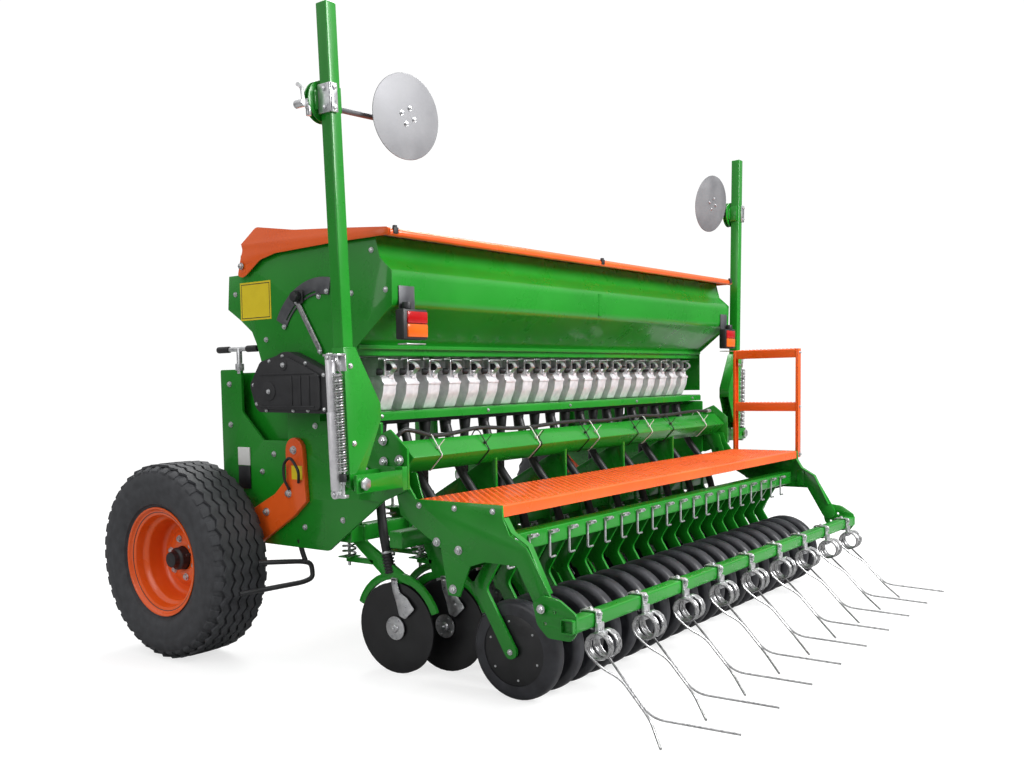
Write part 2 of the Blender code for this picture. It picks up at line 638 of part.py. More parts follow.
def tine(x):
    """One double spring tine: clamp, coil body and two wires that part near the ground."""
    clamp = box((x - 0.016, x + 0.016), (HARROW_Y - HARROW_S / 2 - 0.012, HARROW_Y - 0.006),
                (HARROW_Z - 0.055, HARROW_Z + HARROW_S / 2 + 0.012))
    coil_y, coil_z = HARROW_Y - 0.045, HARROW_Z - 0.075
    coil = rod((x - 0.040, coil_y, coil_z), (x + 0.040, coil_y, coil_z), COIL_R, 10)
    top = (x, coil_y - 0.030, coil_z - 0.030)
    split = (x - 0.010, TINE_DROP_Y, 0.030)
    stem = tube([top, split], 0.011, 6)
    short = tube([(x - 0.012, TINE_DROP_Y + 0.008, 0.034), (x - 0.150, TINE_DROP_Y - 0.100, 0.006)],
                 TINE_WIRE, 6)
    long = tube([(x - 0.006, TINE_DROP_Y + 0.008, 0.030), (x + 0.090, TINE_DROP_Y - TINE_REACH, 0.006)],
                TINE_WIRE, 6)
    return clamp, coil, stem, short, long


def harrow():
    """Harrow bar with its end plates and nine double tines."""
    half = HARROW_S / 2
    bar = box((-HARROW_X, HARROW_X), (HARROW_Y - half, HARROW_Y + half),
              (HARROW_Z - half, HARROW_Z + half))
    plates = []
    for side in (-1, 1):
        ring = arc(HARROW_PIVOT_Y, HARROW_PIVOT_Z, HARROW_BORE, 360, 15, 23)
        outline = [(-1.015, 0.367), (-1.030, 0.300), (-1.070, 0.262), (-1.152, 0.262), (-1.172, 0.290),
                   (-1.172, 0.345), (-1.110, 0.385), (-1.050, 0.392)]
        x0 = side * (PLATFORM_X + 0.006)
        x1 = x0 + side * 0.010
        plates.append(plate(outline, "X", min(x0, x1), max(x0, x1), [ring]))
    parts = [tine((k - (TINES - 1) / 2) * TINE_PITCH) for k in range(TINES)]
    groups = [gather([p[n] for p in parts]) for n in range(5)]
    return weld(bar, gather(plates), *groups)


# ---- row markers --------------------------------------------------------------------
def hub_way(name):
    """The way that a marker disc's hub faces."""
    heading, tilt = math.radians(MARKER_HEADING[name]), math.radians(MARKER_TILT[name])
    level = math.cos(tilt)
    return Vector((math.cos(heading) * level, math.sin(heading) * level, math.sin(tilt)))


def marker_centre(side):
    return Vector((MARKER_DISC_X * side, MARKER_DISC_Y, MARKER_DISC_Z))


def lean():
    """The left marker's turn outward about its pin."""
    pin = Matrix.Translation((-MAST_X, 0, MARKER_PIVOT_Z))
    return pin @ Matrix.Rotation(math.radians(-MARKER_LEAN), 4, "Y") @ pin.inverted()


def marker_mast(name, side):
    """Square mast on its folded foot, with the clamp and bent stub that carry the disc."""
    half = MAST_S / 2
    skin = half + 0.004
    mast = box((-MAST_X - half, -MAST_X + half), (MAST_Y - half, MAST_Y + half),
               (MAST_FOOT - 0.020, MAST_TOP))
    outline = [(-MAST_X - skin, MAST_FOOT), *arc(-MAST_X, MARKER_PIVOT_Z, skin, 180, 360, 8),
               (-GUSSET_X, 0.930), (-GUSSET_X, 0.980), (-MAST_X + skin, MAST_FOOT)]
    foot = plate(outline, "Y", MAST_Y - skin, MAST_Y + skin)
    bore = rod((-MAST_X, MAST_Y - 0.1, MARKER_PIVOT_Z), (-MAST_X, MAST_Y + 0.1, MARKER_PIVOT_Z),
               MARKER_BORE, 24)
    clamp = box((-MAST_X - 0.042, -MAST_X + 0.042), (MAST_Y - 0.042, MAST_Y + 0.070),
                (MARKER_DISC_Z - 0.065, MARKER_DISC_Z + 0.025))
    body = weld(mast, cut(foot, bore), clamp)
    body.data.transform(lean())
    body = mirrored(body, side)
    way, centre = hub_way(name), marker_centre(side)
    elbow = centre + way * 0.085
    start = lean() @ Vector((0.035 - MAST_X, MAST_Y + 0.055, MARKER_DISC_Z - 0.012))
    start.x *= -side
    bar = rod(start, elbow, STUB_R, 10)
    return weld(body, bar, rod(elbow + way * 0.008, centre + way * 0.012, STUB_R, 12))


def marker_disc(name, side):
    """Flat disc with its blind hub; it spins on the stub."""
    hub = 0.035
    profile = [(0, 0), (MARKER_DISC_R, 0), (MARKER_DISC_R, MARKER_DISC_T), (hub, MARKER_DISC_T),
               (hub, 0.040), (STUB_BORE, 0.040), (STUB_BORE, 0.008), (0, 0.008)]
    disc = turned(profile, (0, 0, 0), 28)
    turn = Vector((1, 0, 0)).rotation_difference(hub_way(name)).to_matrix().to_4x4()
    disc.data.transform(Matrix.Translation(marker_centre(side)) @ turn)
    return disc


def marker_strut(side):
    """Lift cylinder and return spring, side by side on the mast's outer face."""
    x = -MAST_X - MAST_S / 2 - 0.029
    face = -MAST_X - MAST_S / 2 - 0.004 - GAP
    top_z, low_z = MAST_FOOT - 0.030, MARKER_PIVOT_Z - 0.020
    cylinder = rod((x, MAST_Y + 0.012, low_z - 0.010), (x, MAST_Y + 0.012, top_z + 0.010), 0.018, 12)
    spring = rod((x, MAST_Y - 0.024, low_z + 0.010), (x, MAST_Y - 0.024, top_z + 0.010), 0.014, 12)
    top = box((x - 0.010, face), (MAST_Y - 0.036, MAST_Y + 0.034), (top_z - 0.020, top_z + 0.020))
    foot = box((x - 0.010, x + 0.010), (MAST_Y - 0.034, MAST_Y + 0.026), (low_z - 0.020, low_z + 0.020))
    strut = weld(top, cylinder, spring, foot)
    strut.data.transform(lean())
    return mirrored(strut, side)


def tail_light(side):
    """Lamp housing below the hopper's rear panel, on its bracket plate."""
    x = -HOPPER_X + 0.071
    housing = box((x - 0.066, x + 0.066), (PANEL_Y - 0.051, PANEL_Y - 0.0045), (1.195, 1.300))
    tab = box((x - 0.039, x + 0.041), (PANEL_Y - 0.006, PANEL_Y - SHEET / 2 - GAP), (1.290, 1.380))
    return mirrored(weld(housing, tab), side)


def hydraulic_hose():
    """Hose laid along the top of the main beam and tied down to it."""
    ridge = BEAM_Z + BEAM_S / math.sqrt(2)
    points = []
    for step in range(25):
        x = -BEAM_END + 0.02 + step * (2 * BEAM_END - 0.04) / 24
        sway = math.sin(step * 1.3)
        lift = 0.0084 + 0.002 * (1 - math.cos(step * 0.9))
        points.append((x, BEAM_Y + 0.004 * sway, ridge + lift))
    return tube(points, 0.008, 8)


def build():
    green = material("frame_green", (0.020, 0.230, 0.015), 0.35)
    orange = material("signal_orange", (0.850, 0.160, 0.010), 0.40)
    black = material("rubber_black", (0.015, 0.015, 0.016), 0.70)
    dark = material("cover_black", (0.020, 0.020, 0.022), 0.50)
    zinc = material("zinc_plate", (0.600, 0.600, 0.580), 0.35, 0.9)

    part(headstock(), "headstock", green)
    part(main_beam(), "main_beam", green)
    part(hopper_rear_wall(), "hopper_rear_wall", green)
    part(hopper_front_wall(), "hopper_front_wall", green)
    part(hopper_lid(), "hopper_lid", orange, (0, HINGE_Y, HINGE_Z))
    part(metering_units(), "metering_units", zinc)
    part(metering_channel(), "metering_channel", green)
    part(seed_tubes(), "seed_tubes", black)
    part(gearbox_cover(), "gearbox_cover", dark)
    part(rate_quadrant(), "rate_quadrant", zinc)
    part(opener_row(0, FRONT_DISC_Y, FRONT_BAR_Y), "openers_front", green)
    part(opener_row(1, REAR_DISC_Y, REAR_BAR_Y), "openers_rear", green)
    part(press_frame(), "press_frame", green)
    part(platform(), "platform", orange)
    part(ladder(), "ladder", orange, (LADDER_X, (LADDER_FRONT + LADDER_REAR) / 2, LADDER_Z))
    part(harrow(), "harrow", green, (0, HARROW_PIVOT_Y, HARROW_PIVOT_Z))
    for i in range(ROWS):
        part(press_wheel(i), "press_wheel_%02d" % (i + 1), black, (row_x(i), PRESS_Y, PRESS_R), True)
    for name, side in SIDES:
        part(side_frame(side), "side_frame_" + name, green)
        part(hopper_end(side), "hopper_end_" + name, green)
        part(platform_bracket(side), "platform_bracket_" + name, green)
        part(wheel_arm(side), "wheel_arm_" + name, orange)
        hub = (side * TYRE_X, TYRE_Y, TYRE_R)
        part(wheel_rim(side), "wheel_rim_" + name, orange, hub, True)
        part(tyre(side), "tyre_" + name, black, hub, True)
        part(marker_bracket(side), "marker_bracket_" + name, green)
        pivot = (side * MAST_X, MAST_Y, MARKER_PIVOT_Z)
        part(marker_mast(name, side), "marker_mast_" + name, green, pivot)
        part(marker_strut(side), "marker_strut_" + name, zinc)
        part(marker_disc(name, side), "marker_disc_" + name, zinc, marker_centre(side), True)
        part(tail_light(side), "tail_light_" + name, dark)
    part(hydraulic_hose(), "hydraulic_hose", black)


clear_scene()
OBJECTS = collection("seed_drill")
CUTTERS = collection("cutters")
build()
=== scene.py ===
# %% [markdown]
# # A mounted seed drill
#
# A seed drill hangs on a tractor's three-point hitch. A long hopper feeds twenty metering outlets,
# black tubes lead the grain down to double disc openers, and a press wheel closes each row. A board
# to stand on, a harrow with sprung tines, two carrying wheels and two folded row markers finish it.
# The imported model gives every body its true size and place. This lesson puts the visible surface
# around it: rounded sheet metal, rubber, coil springs, bolts and paint.

# %% Load the frame
from math import cos, pi, radians, sin

import bmesh
import bpy
from mathutils import Matrix, Vector


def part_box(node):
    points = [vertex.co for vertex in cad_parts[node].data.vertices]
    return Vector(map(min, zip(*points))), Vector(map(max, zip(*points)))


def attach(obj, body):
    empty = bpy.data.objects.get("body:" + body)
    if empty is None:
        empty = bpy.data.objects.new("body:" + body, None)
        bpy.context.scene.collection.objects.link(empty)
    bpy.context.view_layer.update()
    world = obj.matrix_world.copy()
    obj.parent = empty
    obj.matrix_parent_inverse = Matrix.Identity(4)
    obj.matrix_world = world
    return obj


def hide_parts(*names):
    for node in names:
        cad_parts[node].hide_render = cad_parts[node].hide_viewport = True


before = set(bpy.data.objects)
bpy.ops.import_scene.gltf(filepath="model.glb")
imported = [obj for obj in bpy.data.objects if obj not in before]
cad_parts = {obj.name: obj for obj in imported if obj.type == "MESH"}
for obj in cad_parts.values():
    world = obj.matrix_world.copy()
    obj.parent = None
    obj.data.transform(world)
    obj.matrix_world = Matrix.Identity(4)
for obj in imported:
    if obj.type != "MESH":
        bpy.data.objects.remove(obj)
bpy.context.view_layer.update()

# %% [markdown]
# ## Lengths that everything shares
#
# Lengths along Y are easier to read from the hopper than from the machine's middle, so each piece
# is drawn from a zero under the hopper, and moved ahead by one number when it is finished. That
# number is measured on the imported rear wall, and the wheels' and rows' places are measured too.

# %% Measure the frame
PANEL_Y = -0.494                                   # rear panel of the hopper, as drawn
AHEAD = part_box("hopper_rear_wall")[0].y - PANEL_Y + 0.0015
ROWS = 20


def drawn_box(node):
    """A node's (low, high) corners in the lengths that pieces are drawn in."""
    shift = Vector((0, AHEAD, 0))
    low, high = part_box(node)
    return low - shift, high - shift


def drawn_centre(node):
    low, high = drawn_box(node)
    return (low + high) / 2


ROW_X = [drawn_centre("press_wheel_%02d" % (i + 1)).x for i in range(ROWS)]
PRESS = drawn_centre("press_wheel_01")
TYRE = drawn_centre("tyre_left")
TYRE_R = TYRE.z
FRAME_X = drawn_box("openers_front")[1].x + 0.04    # outer face of the side frames
MAST_X, MAST_Y, MAST_TOP = FRAME_X + 0.235, -0.45, 2.24
print("row pitch %.3f m, tyre radius %.3f m, mast top %.3f m" % (ROW_X[1] - ROW_X[0], TYRE_R, MAST_TOP))

# %% [markdown]
# ## Camera
#
# The camera stands a little left of the machine's rear corner, at the height of a person's waist,
# and is turned by its yaw, pitch and roll. A small shift keeps the whole machine in the picture.

# %% Place the camera
EYE = Vector((-3.8919, -2.7542 + AHEAD, 1.0572))
YAW, PITCH, ROLL = radians(50.779), radians(3.929), radians(-1.183)
level = Vector((cos(YAW), -sin(YAW), 0))
ahead = Vector((sin(YAW) * cos(PITCH), cos(YAW) * cos(PITCH), -sin(PITCH)))
above = level.cross(ahead)
side_way = level * cos(ROLL) + above * sin(ROLL)
up_way = above * cos(ROLL) - level * sin(ROLL)
camera = bpy.data.objects.new("camera", bpy.data.cameras.new("camera"))
bpy.context.scene.collection.objects.link(camera)
camera.matrix_world = Matrix.Translation(EYE) @ Matrix((side_way, up_way, -ahead)).transposed().to_4x4()
camera.data.sensor_width = 36.0
camera.data.lens = 35.565
camera.data.shift_x, camera.data.shift_y = 0.0703, 0.0645
bpy.context.scene.camera = camera
print("camera %.1f m from the hopper" % (EYE - Vector((0, AHEAD, 1.3))).length)

# %% [markdown]
# ## Floor and light
#
# The camera sees a white floor that runs into a white sky, so no wall shows. The sky itself lights
# more from above than from the sides, as a workshop roof does. Three large soft lamps do the work:
# one high behind the camera, one for the left end, and one from the far side to rim the edges.

# %% Build the studio
bpy.ops.mesh.primitive_plane_add(size=60, location=(0, 0, 0))
floor = bpy.context.active_object
floor.name = "studio_floor"
floor_paint = bpy.data.materials.new("studio_floor_white")
floor_paint.use_nodes = True
floor_shader = floor_paint.node_tree.nodes["Principled BSDF"]
floor_shader.inputs["Base Color"].default_value = (0.3, 0.3, 0.3, 1)
floor_shader.inputs["Roughness"].default_value = 0.85
floor_shader.inputs["Emission Color"].default_value = (1.0, 1.0, 1.0, 1)
floor_ray = floor_paint.node_tree.nodes.new("ShaderNodeLightPath")
floor_glow = floor_paint.node_tree.nodes.new("ShaderNodeMath")
floor_glow.operation = "MULTIPLY"
floor_glow.inputs[1].default_value = 0.72
floor_paint.node_tree.links.new(floor_ray.outputs["Is Camera Ray"], floor_glow.inputs[0])
floor_paint.node_tree.links.new(floor_glow.outputs["Value"], floor_shader.inputs["Emission Strength"])
floor.data.materials.append(floor_paint)

sky = bpy.data.worlds.new("studio_sky")
sky.use_nodes = True
sky.node_tree.nodes["Background"].inputs["Color"].default_value = (1.0, 1.0, 1.0, 1)
sky_nodes, sky_links = sky.node_tree.nodes, sky.node_tree.links
sky_way = sky_nodes.new("ShaderNodeTexCoord")
sky_height = sky_nodes.new("ShaderNodeSeparateXYZ")
sky_level = sky_nodes.new("ShaderNodeMapRange")
sky_level.inputs["To Min"].default_value = 0.13
sky_level.inputs["To Max"].default_value = 1.25
sky_ray = sky_nodes.new("ShaderNodeLightPath")
sky_mix = sky_nodes.new("ShaderNodeMix")
sky_mix.inputs["B"].default_value = 1.05
sky_links.new(sky_way.outputs["Generated"], sky_height.inputs["Vector"])
sky_links.new(sky_height.outputs["Z"], sky_level.inputs["Value"])
sky_links.new(sky_ray.outputs["Is Camera Ray"], sky_mix.inputs["Factor"])
sky_links.new(sky_level.outputs["Result"], sky_mix.inputs["A"])
sky_links.new(sky_mix.outputs["Result"], sky_nodes["Background"].inputs["Strength"])
bpy.context.scene.world = sky


def soft_lamp(name, place, aim, size, power):
    lamp = bpy.data.objects.new(name, bpy.data.lights.new(name, "AREA"))
    bpy.context.scene.collection.objects.link(lamp)
    lamp.data.shape = "SQUARE"
    lamp.data.size = size
    lamp.data.energy = power
    lamp.location = place
    lamp.rotation_euler = (Vector(aim) - Vector(place)).to_track_quat("-Z", "Y").to_euler()


soft_lamp("lamp_main", (0.5, -6.0, 4.6), (0, 0, 0.8), 3.5, 700)
soft_lamp("lamp_left_end", (-6.5, 0.5, 3.0), (-1.3, 0, 0.8), 3.0, 62)
soft_lamp("lamp_rim", (2.5, 2.5, 6.0), (0, 0, 1.0), 3.5, 380)
bpy.context.scene.view_settings.view_transform = "Standard"
print("studio: 1 floor, 3 soft lamps")

# %% [markdown]
# ## Tools for shaping
#
# Each tool does by code what a hand does in the window: add a primitive at its size and place,
# select faces or edges by where they are, and finish with a modifier that is applied. An operator
# acts on all that is selected, so every tool first clears the selection.

# %% Selection and joining
def clear():
    """Leaves edit mode and selects nothing."""
    if bpy.context.mode != "OBJECT":
        bpy.ops.object.mode_set(mode="OBJECT")
    bpy.ops.object.select_all(action="DESELECT")


DOUBLE = 1e-5                        # points nearer than this are one point


def edit_all():
    """Enters edit mode on the active piece with all of it selected."""
    bpy.ops.object.mode_set(mode="EDIT")
    bpy.ops.mesh.select_all(action="SELECT")


def leave():
    bpy.ops.object.mode_set(mode="OBJECT")


def grab(*pieces):
    """Selects just these pieces, the first one active."""
    clear()
    for piece in pieces:
        piece.select_set(True)
    bpy.context.view_layer.objects.active = pieces[0]
    return pieces[0]


def joined(pieces):
    """One piece made of a list of pieces; a single piece stays as it is."""
    if not isinstance(pieces, list):
        return pieces
    grab(*pieces)
    if len(pieces) > 1:
        bpy.ops.object.join()
    return bpy.context.active_object


def settled(piece):
    """Moves a piece's place into its mesh, so that its object sits at the origin."""
    grab(piece)
    bpy.ops.object.transform_apply(location=True, rotation=True, scale=True)
    return piece


def applied(piece, modifier):
    grab(piece)
    bpy.ops.object.modifier_apply(modifier=modifier.name)
    return piece


def bevelled(piece, width, steps=2, angle=30):
    """Rounds every edge sharper than the angle."""
    bevel = piece.modifiers.new("rounding", "BEVEL")
    bevel.width = width
    bevel.segments = steps
    bevel.limit_method = "ANGLE"
    bevel.angle_limit = radians(angle)
    bevel.miter_outer = "MITER_ARC"
    return applied(piece, bevel)


def copied(piece, matrix=Matrix.Identity(4)):
    """A copy with its own mesh, moved by a matrix."""
    twin = bpy.data.objects.new(piece.name, piece.data.copy())
    bpy.context.scene.collection.objects.link(twin)
    twin.data.transform(matrix)
    return twin


def dropped(piece):
    bpy.data.objects.remove(piece, do_unlink=True)


def at(x, y, z):
    return Matrix.Translation((x, y, z))


# %% Blocks, bars, plates and wires
def block(x, y, z, edge=0.0, steps=2):
    """A rounded block between (low, high) pairs."""
    clear()
    size = [high - low for low, high in (x, y, z)]
    middle = [(high + low) / 2 for low, high in (x, y, z)]
    bpy.ops.mesh.primitive_cube_add(size=1, location=middle)
    piece = bpy.context.active_object
    piece.scale = size
    settled(piece)
    return bevelled(piece, edge, steps) if edge else piece


def bar(start, end, r, sides=16, end_r=None, edge=0.0):
    """A round bar, or a cone if it ends in another radius."""
    clear()
    start, end = Vector(start), Vector(end)
    way = end - start
    bpy.ops.mesh.primitive_cone_add(vertices=sides, radius1=r, radius2=r if end_r is None else end_r,
        depth=way.length, location=(start + end) / 2, rotation=way.to_track_quat("Z", "Y").to_euler())
    piece = settled(bpy.context.active_object)
    return bevelled(piece, edge, 2) if edge else piece


def meshed(curve_object):
    """A curve object made a plain mesh, with its doubles merged."""
    grab(curve_object)
    bpy.ops.object.convert(target="MESH")
    piece = bpy.context.active_object
    edit_all()
    bpy.ops.mesh.remove_doubles(threshold=DOUBLE)
    leave()
    return piece


PLANES = {"X": Matrix(((0, 0, 1), (1, 0, 0), (0, 1, 0))), "Y": Matrix(((1, 0, 0), (0, 0, -1), (0, 1, 0))),
    "Z": Matrix.Identity(3)}


def plate(outline, axis, low, high, edge=0.001, holes=()):
    """A flat outline with thickness and rounded rims: (y, z) points across X, (x, z) across Y."""
    curve = bpy.data.curves.new("plate", "CURVE")
    curve.dimensions = "2D"
    curve.fill_mode = "BOTH"
    curve.extrude = abs(high - low) / 2
    for ring in (outline, *holes):
        spline = curve.splines.new("POLY")
        spline.points.add(len(ring) - 1)
        for point, (a, b) in zip(spline.points, ring):
            point.co = (a, b, 0, 1)
        spline.use_cyclic_u = True
    made = bpy.data.objects.new("plate", curve)
    bpy.context.scene.collection.objects.link(made)
    piece = meshed(made)
    way = Vector([1.0 if axis == name else 0.0 for name in "XYZ"])
    piece.matrix_world = at(*(way * (low + high) / 2)) @ PLANES[axis].to_4x4()
    settled(piece)
    return bevelled(piece, edge, 2, 40) if edge else piece


def arc(cx, cy, r, start, end, steps=10):
    """Points on an arc, angles in degrees."""
    turns = [radians(start + (end - start) * i / steps) for i in range(steps + 1)]
    return [(cx + r * cos(a), cy + r * sin(a)) for a in turns]


def filleted(points, r, steps=4, closed=False):
    """The same line with its corners rounded to a radius."""
    count = len(points)
    out = []
    for i, point in enumerate(points):
        here = Vector(point)
        if not closed and i in (0, count - 1):
            out.append(here)
            continue
        back = Vector(points[i - 1]) - here
        front = Vector(points[(i + 1) % count]) - here
        reach = min(r, back.length * 0.45, front.length * 0.45)
        a, b = here + back.normalized() * reach, here + front.normalized() * reach
        for k in range(steps + 1):
            t = k / steps
            out.append(a * (1 - t) ** 2 + here * 2 * t * (1 - t) + b * t * t)
    return [tuple(p) for p in out]


def cut(points, r, low, high, edge, holes=(), steps=3):
    """A plate across X whose outline has its corners rounded to r."""
    return plate(filleted(points, r, steps, True), "X", low, high, edge, holes)


def wire(points, r, sides=8, closed=False):
    """A round wire or hose through the points."""
    curve = bpy.data.curves.new("wire", "CURVE")
    curve.dimensions = "3D"
    curve.bevel_depth = r
    curve.bevel_resolution = max(0, sides // 2 - 2)
    curve.use_fill_caps = not closed
    spline = curve.splines.new("POLY")
    spline.points.add(len(points) - 1)
    for point, co in zip(spline.points, points):
        point.co = (*co, 1)
    spline.use_cyclic_u = closed
    made = bpy.data.objects.new("wire", curve)
    bpy.context.scene.collection.objects.link(made)
    return meshed(made)


def bent(points, r, wire_r, sides=8, steps=3):
    """A wire or hose whose bends are rounded to r."""
    return wire(filleted(points, r, steps), wire_r, sides)


def coil(start, end, r, wire_r, turns, sides=6, steps=12):
    """A coil spring wound from start to end."""
    start, end = Vector(start), Vector(end)
    turn = (end - start).to_track_quat("Z", "Y")
    count = int(turns * steps)
    points = []
    for i in range(count + 1):
        a = 2 * pi * i / steps
        spoke = turn @ Vector((cos(a) * r, sin(a) * r, 0))
        points.append(start.lerp(end, i / count) + spoke)
    return wire(points, wire_r, sides)


def run(line, thickness, reach, low=None, r=0.012, closed=False):
    """A folded sheet: a section line with rounded folds, extruded along X and given its thickness."""
    section = filleted(line, r, 4, closed)
    x0 = -reach if low is None else low
    clear()
    bpy.ops.mesh.primitive_circle_add(vertices=len(section), radius=1)
    piece = bpy.context.active_object
    for vertex, (y, z) in zip(piece.data.vertices, section):
        vertex.co = (x0, y, z)
    bpy.ops.object.mode_set(mode="EDIT")
    if not closed:
        bm = bmesh.from_edit_mesh(piece.data)
        bm.verts.ensure_lookup_table()
        ends = bm.edges.get((bm.verts[0], bm.verts[len(section) - 1]))
        bm.edges.remove(ends)
        bmesh.update_edit_mesh(piece.data)
    bpy.ops.mesh.select_all(action="SELECT")
    bpy.ops.mesh.extrude_region_move(TRANSFORM_OT_translate={"value": (reach - x0, 0, 0)})
    bpy.ops.mesh.select_all(action="SELECT")
    bpy.ops.mesh.normals_make_consistent(inside=False)
    leave()
    wall = piece.modifiers.new("wall", "SOLIDIFY")
    wall.thickness = thickness
    wall.offset = 0.0
    wall.use_even_offset = True
    return applied(piece, wall)


def turned(profile, centre, axis="X", steps=64):
    """A closed profile of (radius, place along the axis) spun once round the axis."""
    centre = Vector(centre)
    way = {"X": Vector((1, 0, 0)), "Y": Vector((0, 1, 0)), "Z": Vector((0, 0, 1))}[axis]
    out = {"X": Vector((0, 0, 1)), "Y": Vector((0, 0, 1)), "Z": Vector((1, 0, 0))}[axis]
    clear()
    bpy.ops.mesh.primitive_circle_add(vertices=len(profile), radius=1)
    piece = bpy.context.active_object
    for vertex, (r, along) in zip(piece.data.vertices, profile):
        vertex.co = centre + out * r + way * along
    edit_all()
    bpy.ops.mesh.spin(steps=steps, angle=2 * pi, center=centre, axis=way)
    bpy.ops.mesh.select_all(action="SELECT")
    bpy.ops.mesh.remove_doubles(threshold=DOUBLE)
    bpy.ops.mesh.normals_make_consistent(inside=False)
    leave()
    return piece


def softened(node, width=0.0012, steps=2):
    """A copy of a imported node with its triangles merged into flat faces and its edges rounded."""
    piece = bpy.data.objects.new(node + "_skin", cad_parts[node].data.copy())
    bpy.context.scene.collection.objects.link(piece)
    piece.data.materials.clear()
    piece.data.transform(at(0, -AHEAD, 0))
    grab(piece)
    edit_all()
    bpy.ops.mesh.remove_doubles(threshold=DOUBLE)
    bpy.ops.mesh.dissolve_limited(angle_limit=radians(1.0))
    leave()
    return bevelled(piece, width, steps, 40)


def mirrored(piece):
    """The piece turned into its mirror image, for the machine's right side."""
    grab(piece)
    edit_all()
    bpy.ops.transform.resize(value=(-1, 1, 1), center_override=(0, 0, 0))
    bpy.ops.mesh.flip_normals()
    leave()
    return piece


counts = {}
SMOOTH_BELOW = radians(35)


def done(pieces, name, body, finish, stands_for=""):
    """Joins, names, paints and shades a piece, moves it ahead, and lets it ride on its body."""
    piece = joined(pieces)
    piece.name = name
    piece.data.name = name
    piece.data.transform(at(0, AHEAD, 0))
    piece.data.materials.clear()
    piece.data.materials.append(finish)
    grab(piece)
    bpy.ops.object.shade_smooth_by_angle(angle=SMOOTH_BELOW)
    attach(piece, body)
    if stands_for:
        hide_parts(stands_for)
    counts[name] = sum(len(face.vertices) - 2 for face in piece.data.polygons)


def both(pieces, name, body, finish, stands_for=""):
    """Finishes a piece as it was drawn, on the left, and its mirror image on the right."""
    piece = joined(pieces)
    for one, end in ((piece, "_left"), (mirrored(copied(piece)), "_right")):
        done(one, name + end, body if body == "drill" else body + end, finish, stands_for and stands_for
            + end)


def soft_pair(node, width, name, finish):
    """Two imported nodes, left and right, with their edges rounded."""
    for end in ("_left", "_right"):
        done(softened(node + end, width), name + end, "drill", finish, node + end)


print("tools ready")

# %% [markdown]
# ## Finishes
#
# A finish is a small graph of nodes. Noise read from Object coordinates breaks up the colour and
# the roughness a little, as on real paint, zinc and rubber, and a fine bump gives the surface its
# grain. What is the same all over, such as the coat, is set straight on the shader's own socket.

# %% A helper that starts a finish
def surface(name, metallic=0.0, coat=0.0, specular=0.5):
    """A new material with its shader and a socket of Object coordinates."""
    mat = bpy.data.materials.new(name)
    mat.use_nodes = True
    nodes = mat.node_tree.nodes
    shader = nodes["Principled BSDF"]
    shader.inputs["Metallic"].default_value = metallic
    shader.inputs["Coat Weight"].default_value = coat
    shader.inputs["Coat Roughness"].default_value = 0.06
    shader.inputs["Specular IOR Level"].default_value = specular
    coordinates = nodes.new("ShaderNodeTexCoord")
    return mat, mat.node_tree, shader, coordinates.outputs["Object"]


def noise(tree, place, scale, detail=3.0, stretch=(1, 1, 1)):
    mapping = tree.nodes.new("ShaderNodeMapping")
    mapping.inputs["Scale"].default_value = stretch
    tree.links.new(place, mapping.inputs["Vector"])
    grain = tree.nodes.new("ShaderNodeTexNoise")
    grain.inputs["Scale"].default_value = scale
    grain.inputs["Detail"].default_value = detail
    tree.links.new(mapping.outputs["Vector"], grain.inputs["Vector"])
    return grain.outputs["Fac"]


def ramp(tree, factor, stops):
    """Colours at places along a factor: (place, (r, g, b)) pairs."""
    node = tree.nodes.new("ShaderNodeValToRGB")
    while len(node.color_ramp.elements) < len(stops):
        node.color_ramp.elements.new(0.5)
    for element, (place, colour) in zip(node.color_ramp.elements, stops):
        element.position = place
        element.color = (*colour, 1)
    tree.links.new(factor, node.inputs["Fac"])
    return node.outputs["Color"]


def spread(tree, factor, low, high):
    """A factor from 0.3 to 0.7 spread over a range of values."""
    node = tree.nodes.new("ShaderNodeMapRange")
    node.inputs["From Min"].default_value = 0.3
    node.inputs["From Max"].default_value = 0.7
    node.inputs["To Min"].default_value = low
    node.inputs["To Max"].default_value = high
    tree.links.new(factor, node.inputs["Value"])
    return node.outputs["Result"]


def bump(tree, shader, height, strength, distance=0.001):
    node = tree.nodes.new("ShaderNodeBump")
    node.inputs["Strength"].default_value = strength
    node.inputs["Distance"].default_value = distance
    tree.links.new(height, node.inputs["Height"])
    tree.links.new(node.outputs["Normal"], shader.inputs["Normal"])


# %% Paint, zinc, rubber and plastic
def painted(name, dark, light, rough=(0.24, 0.36)):
    """Sprayed gloss paint: cloudy colour, a faint orange peel and a clear coat."""
    mat, tree, shader, place = surface(name, coat=0.35, specular=0.35)
    cloud = noise(tree, place, 2.2, 4.0)
    tree.links.new(ramp(tree, cloud, [(0.3, dark), (0.7, light)]), shader.inputs["Base Color"])
    tree.links.new(spread(tree, noise(tree, place, 9.0, 3.0), *rough), shader.inputs["Roughness"])
    bump(tree, shader, noise(tree, place, 260.0, 2.0), 0.05)
    return mat


def plated(name, dark, light, rough, scale=60.0, metallic=0.9, stretch=(1, 1, 1), relief=0.08):
    """Zinc, steel or cast metal: a fine mottled colour and roughness."""
    mat, tree, shader, place = surface(name, metallic=metallic)
    spangle = noise(tree, place, scale, 5.0, stretch)
    tree.links.new(ramp(tree, spangle, [(0.3, dark), (0.7, light)]), shader.inputs["Base Color"])
    tree.links.new(spread(tree, spangle, *rough), shader.inputs["Roughness"])
    bump(tree, shader, noise(tree, place, scale * 4, 3.0, stretch), relief)
    return mat


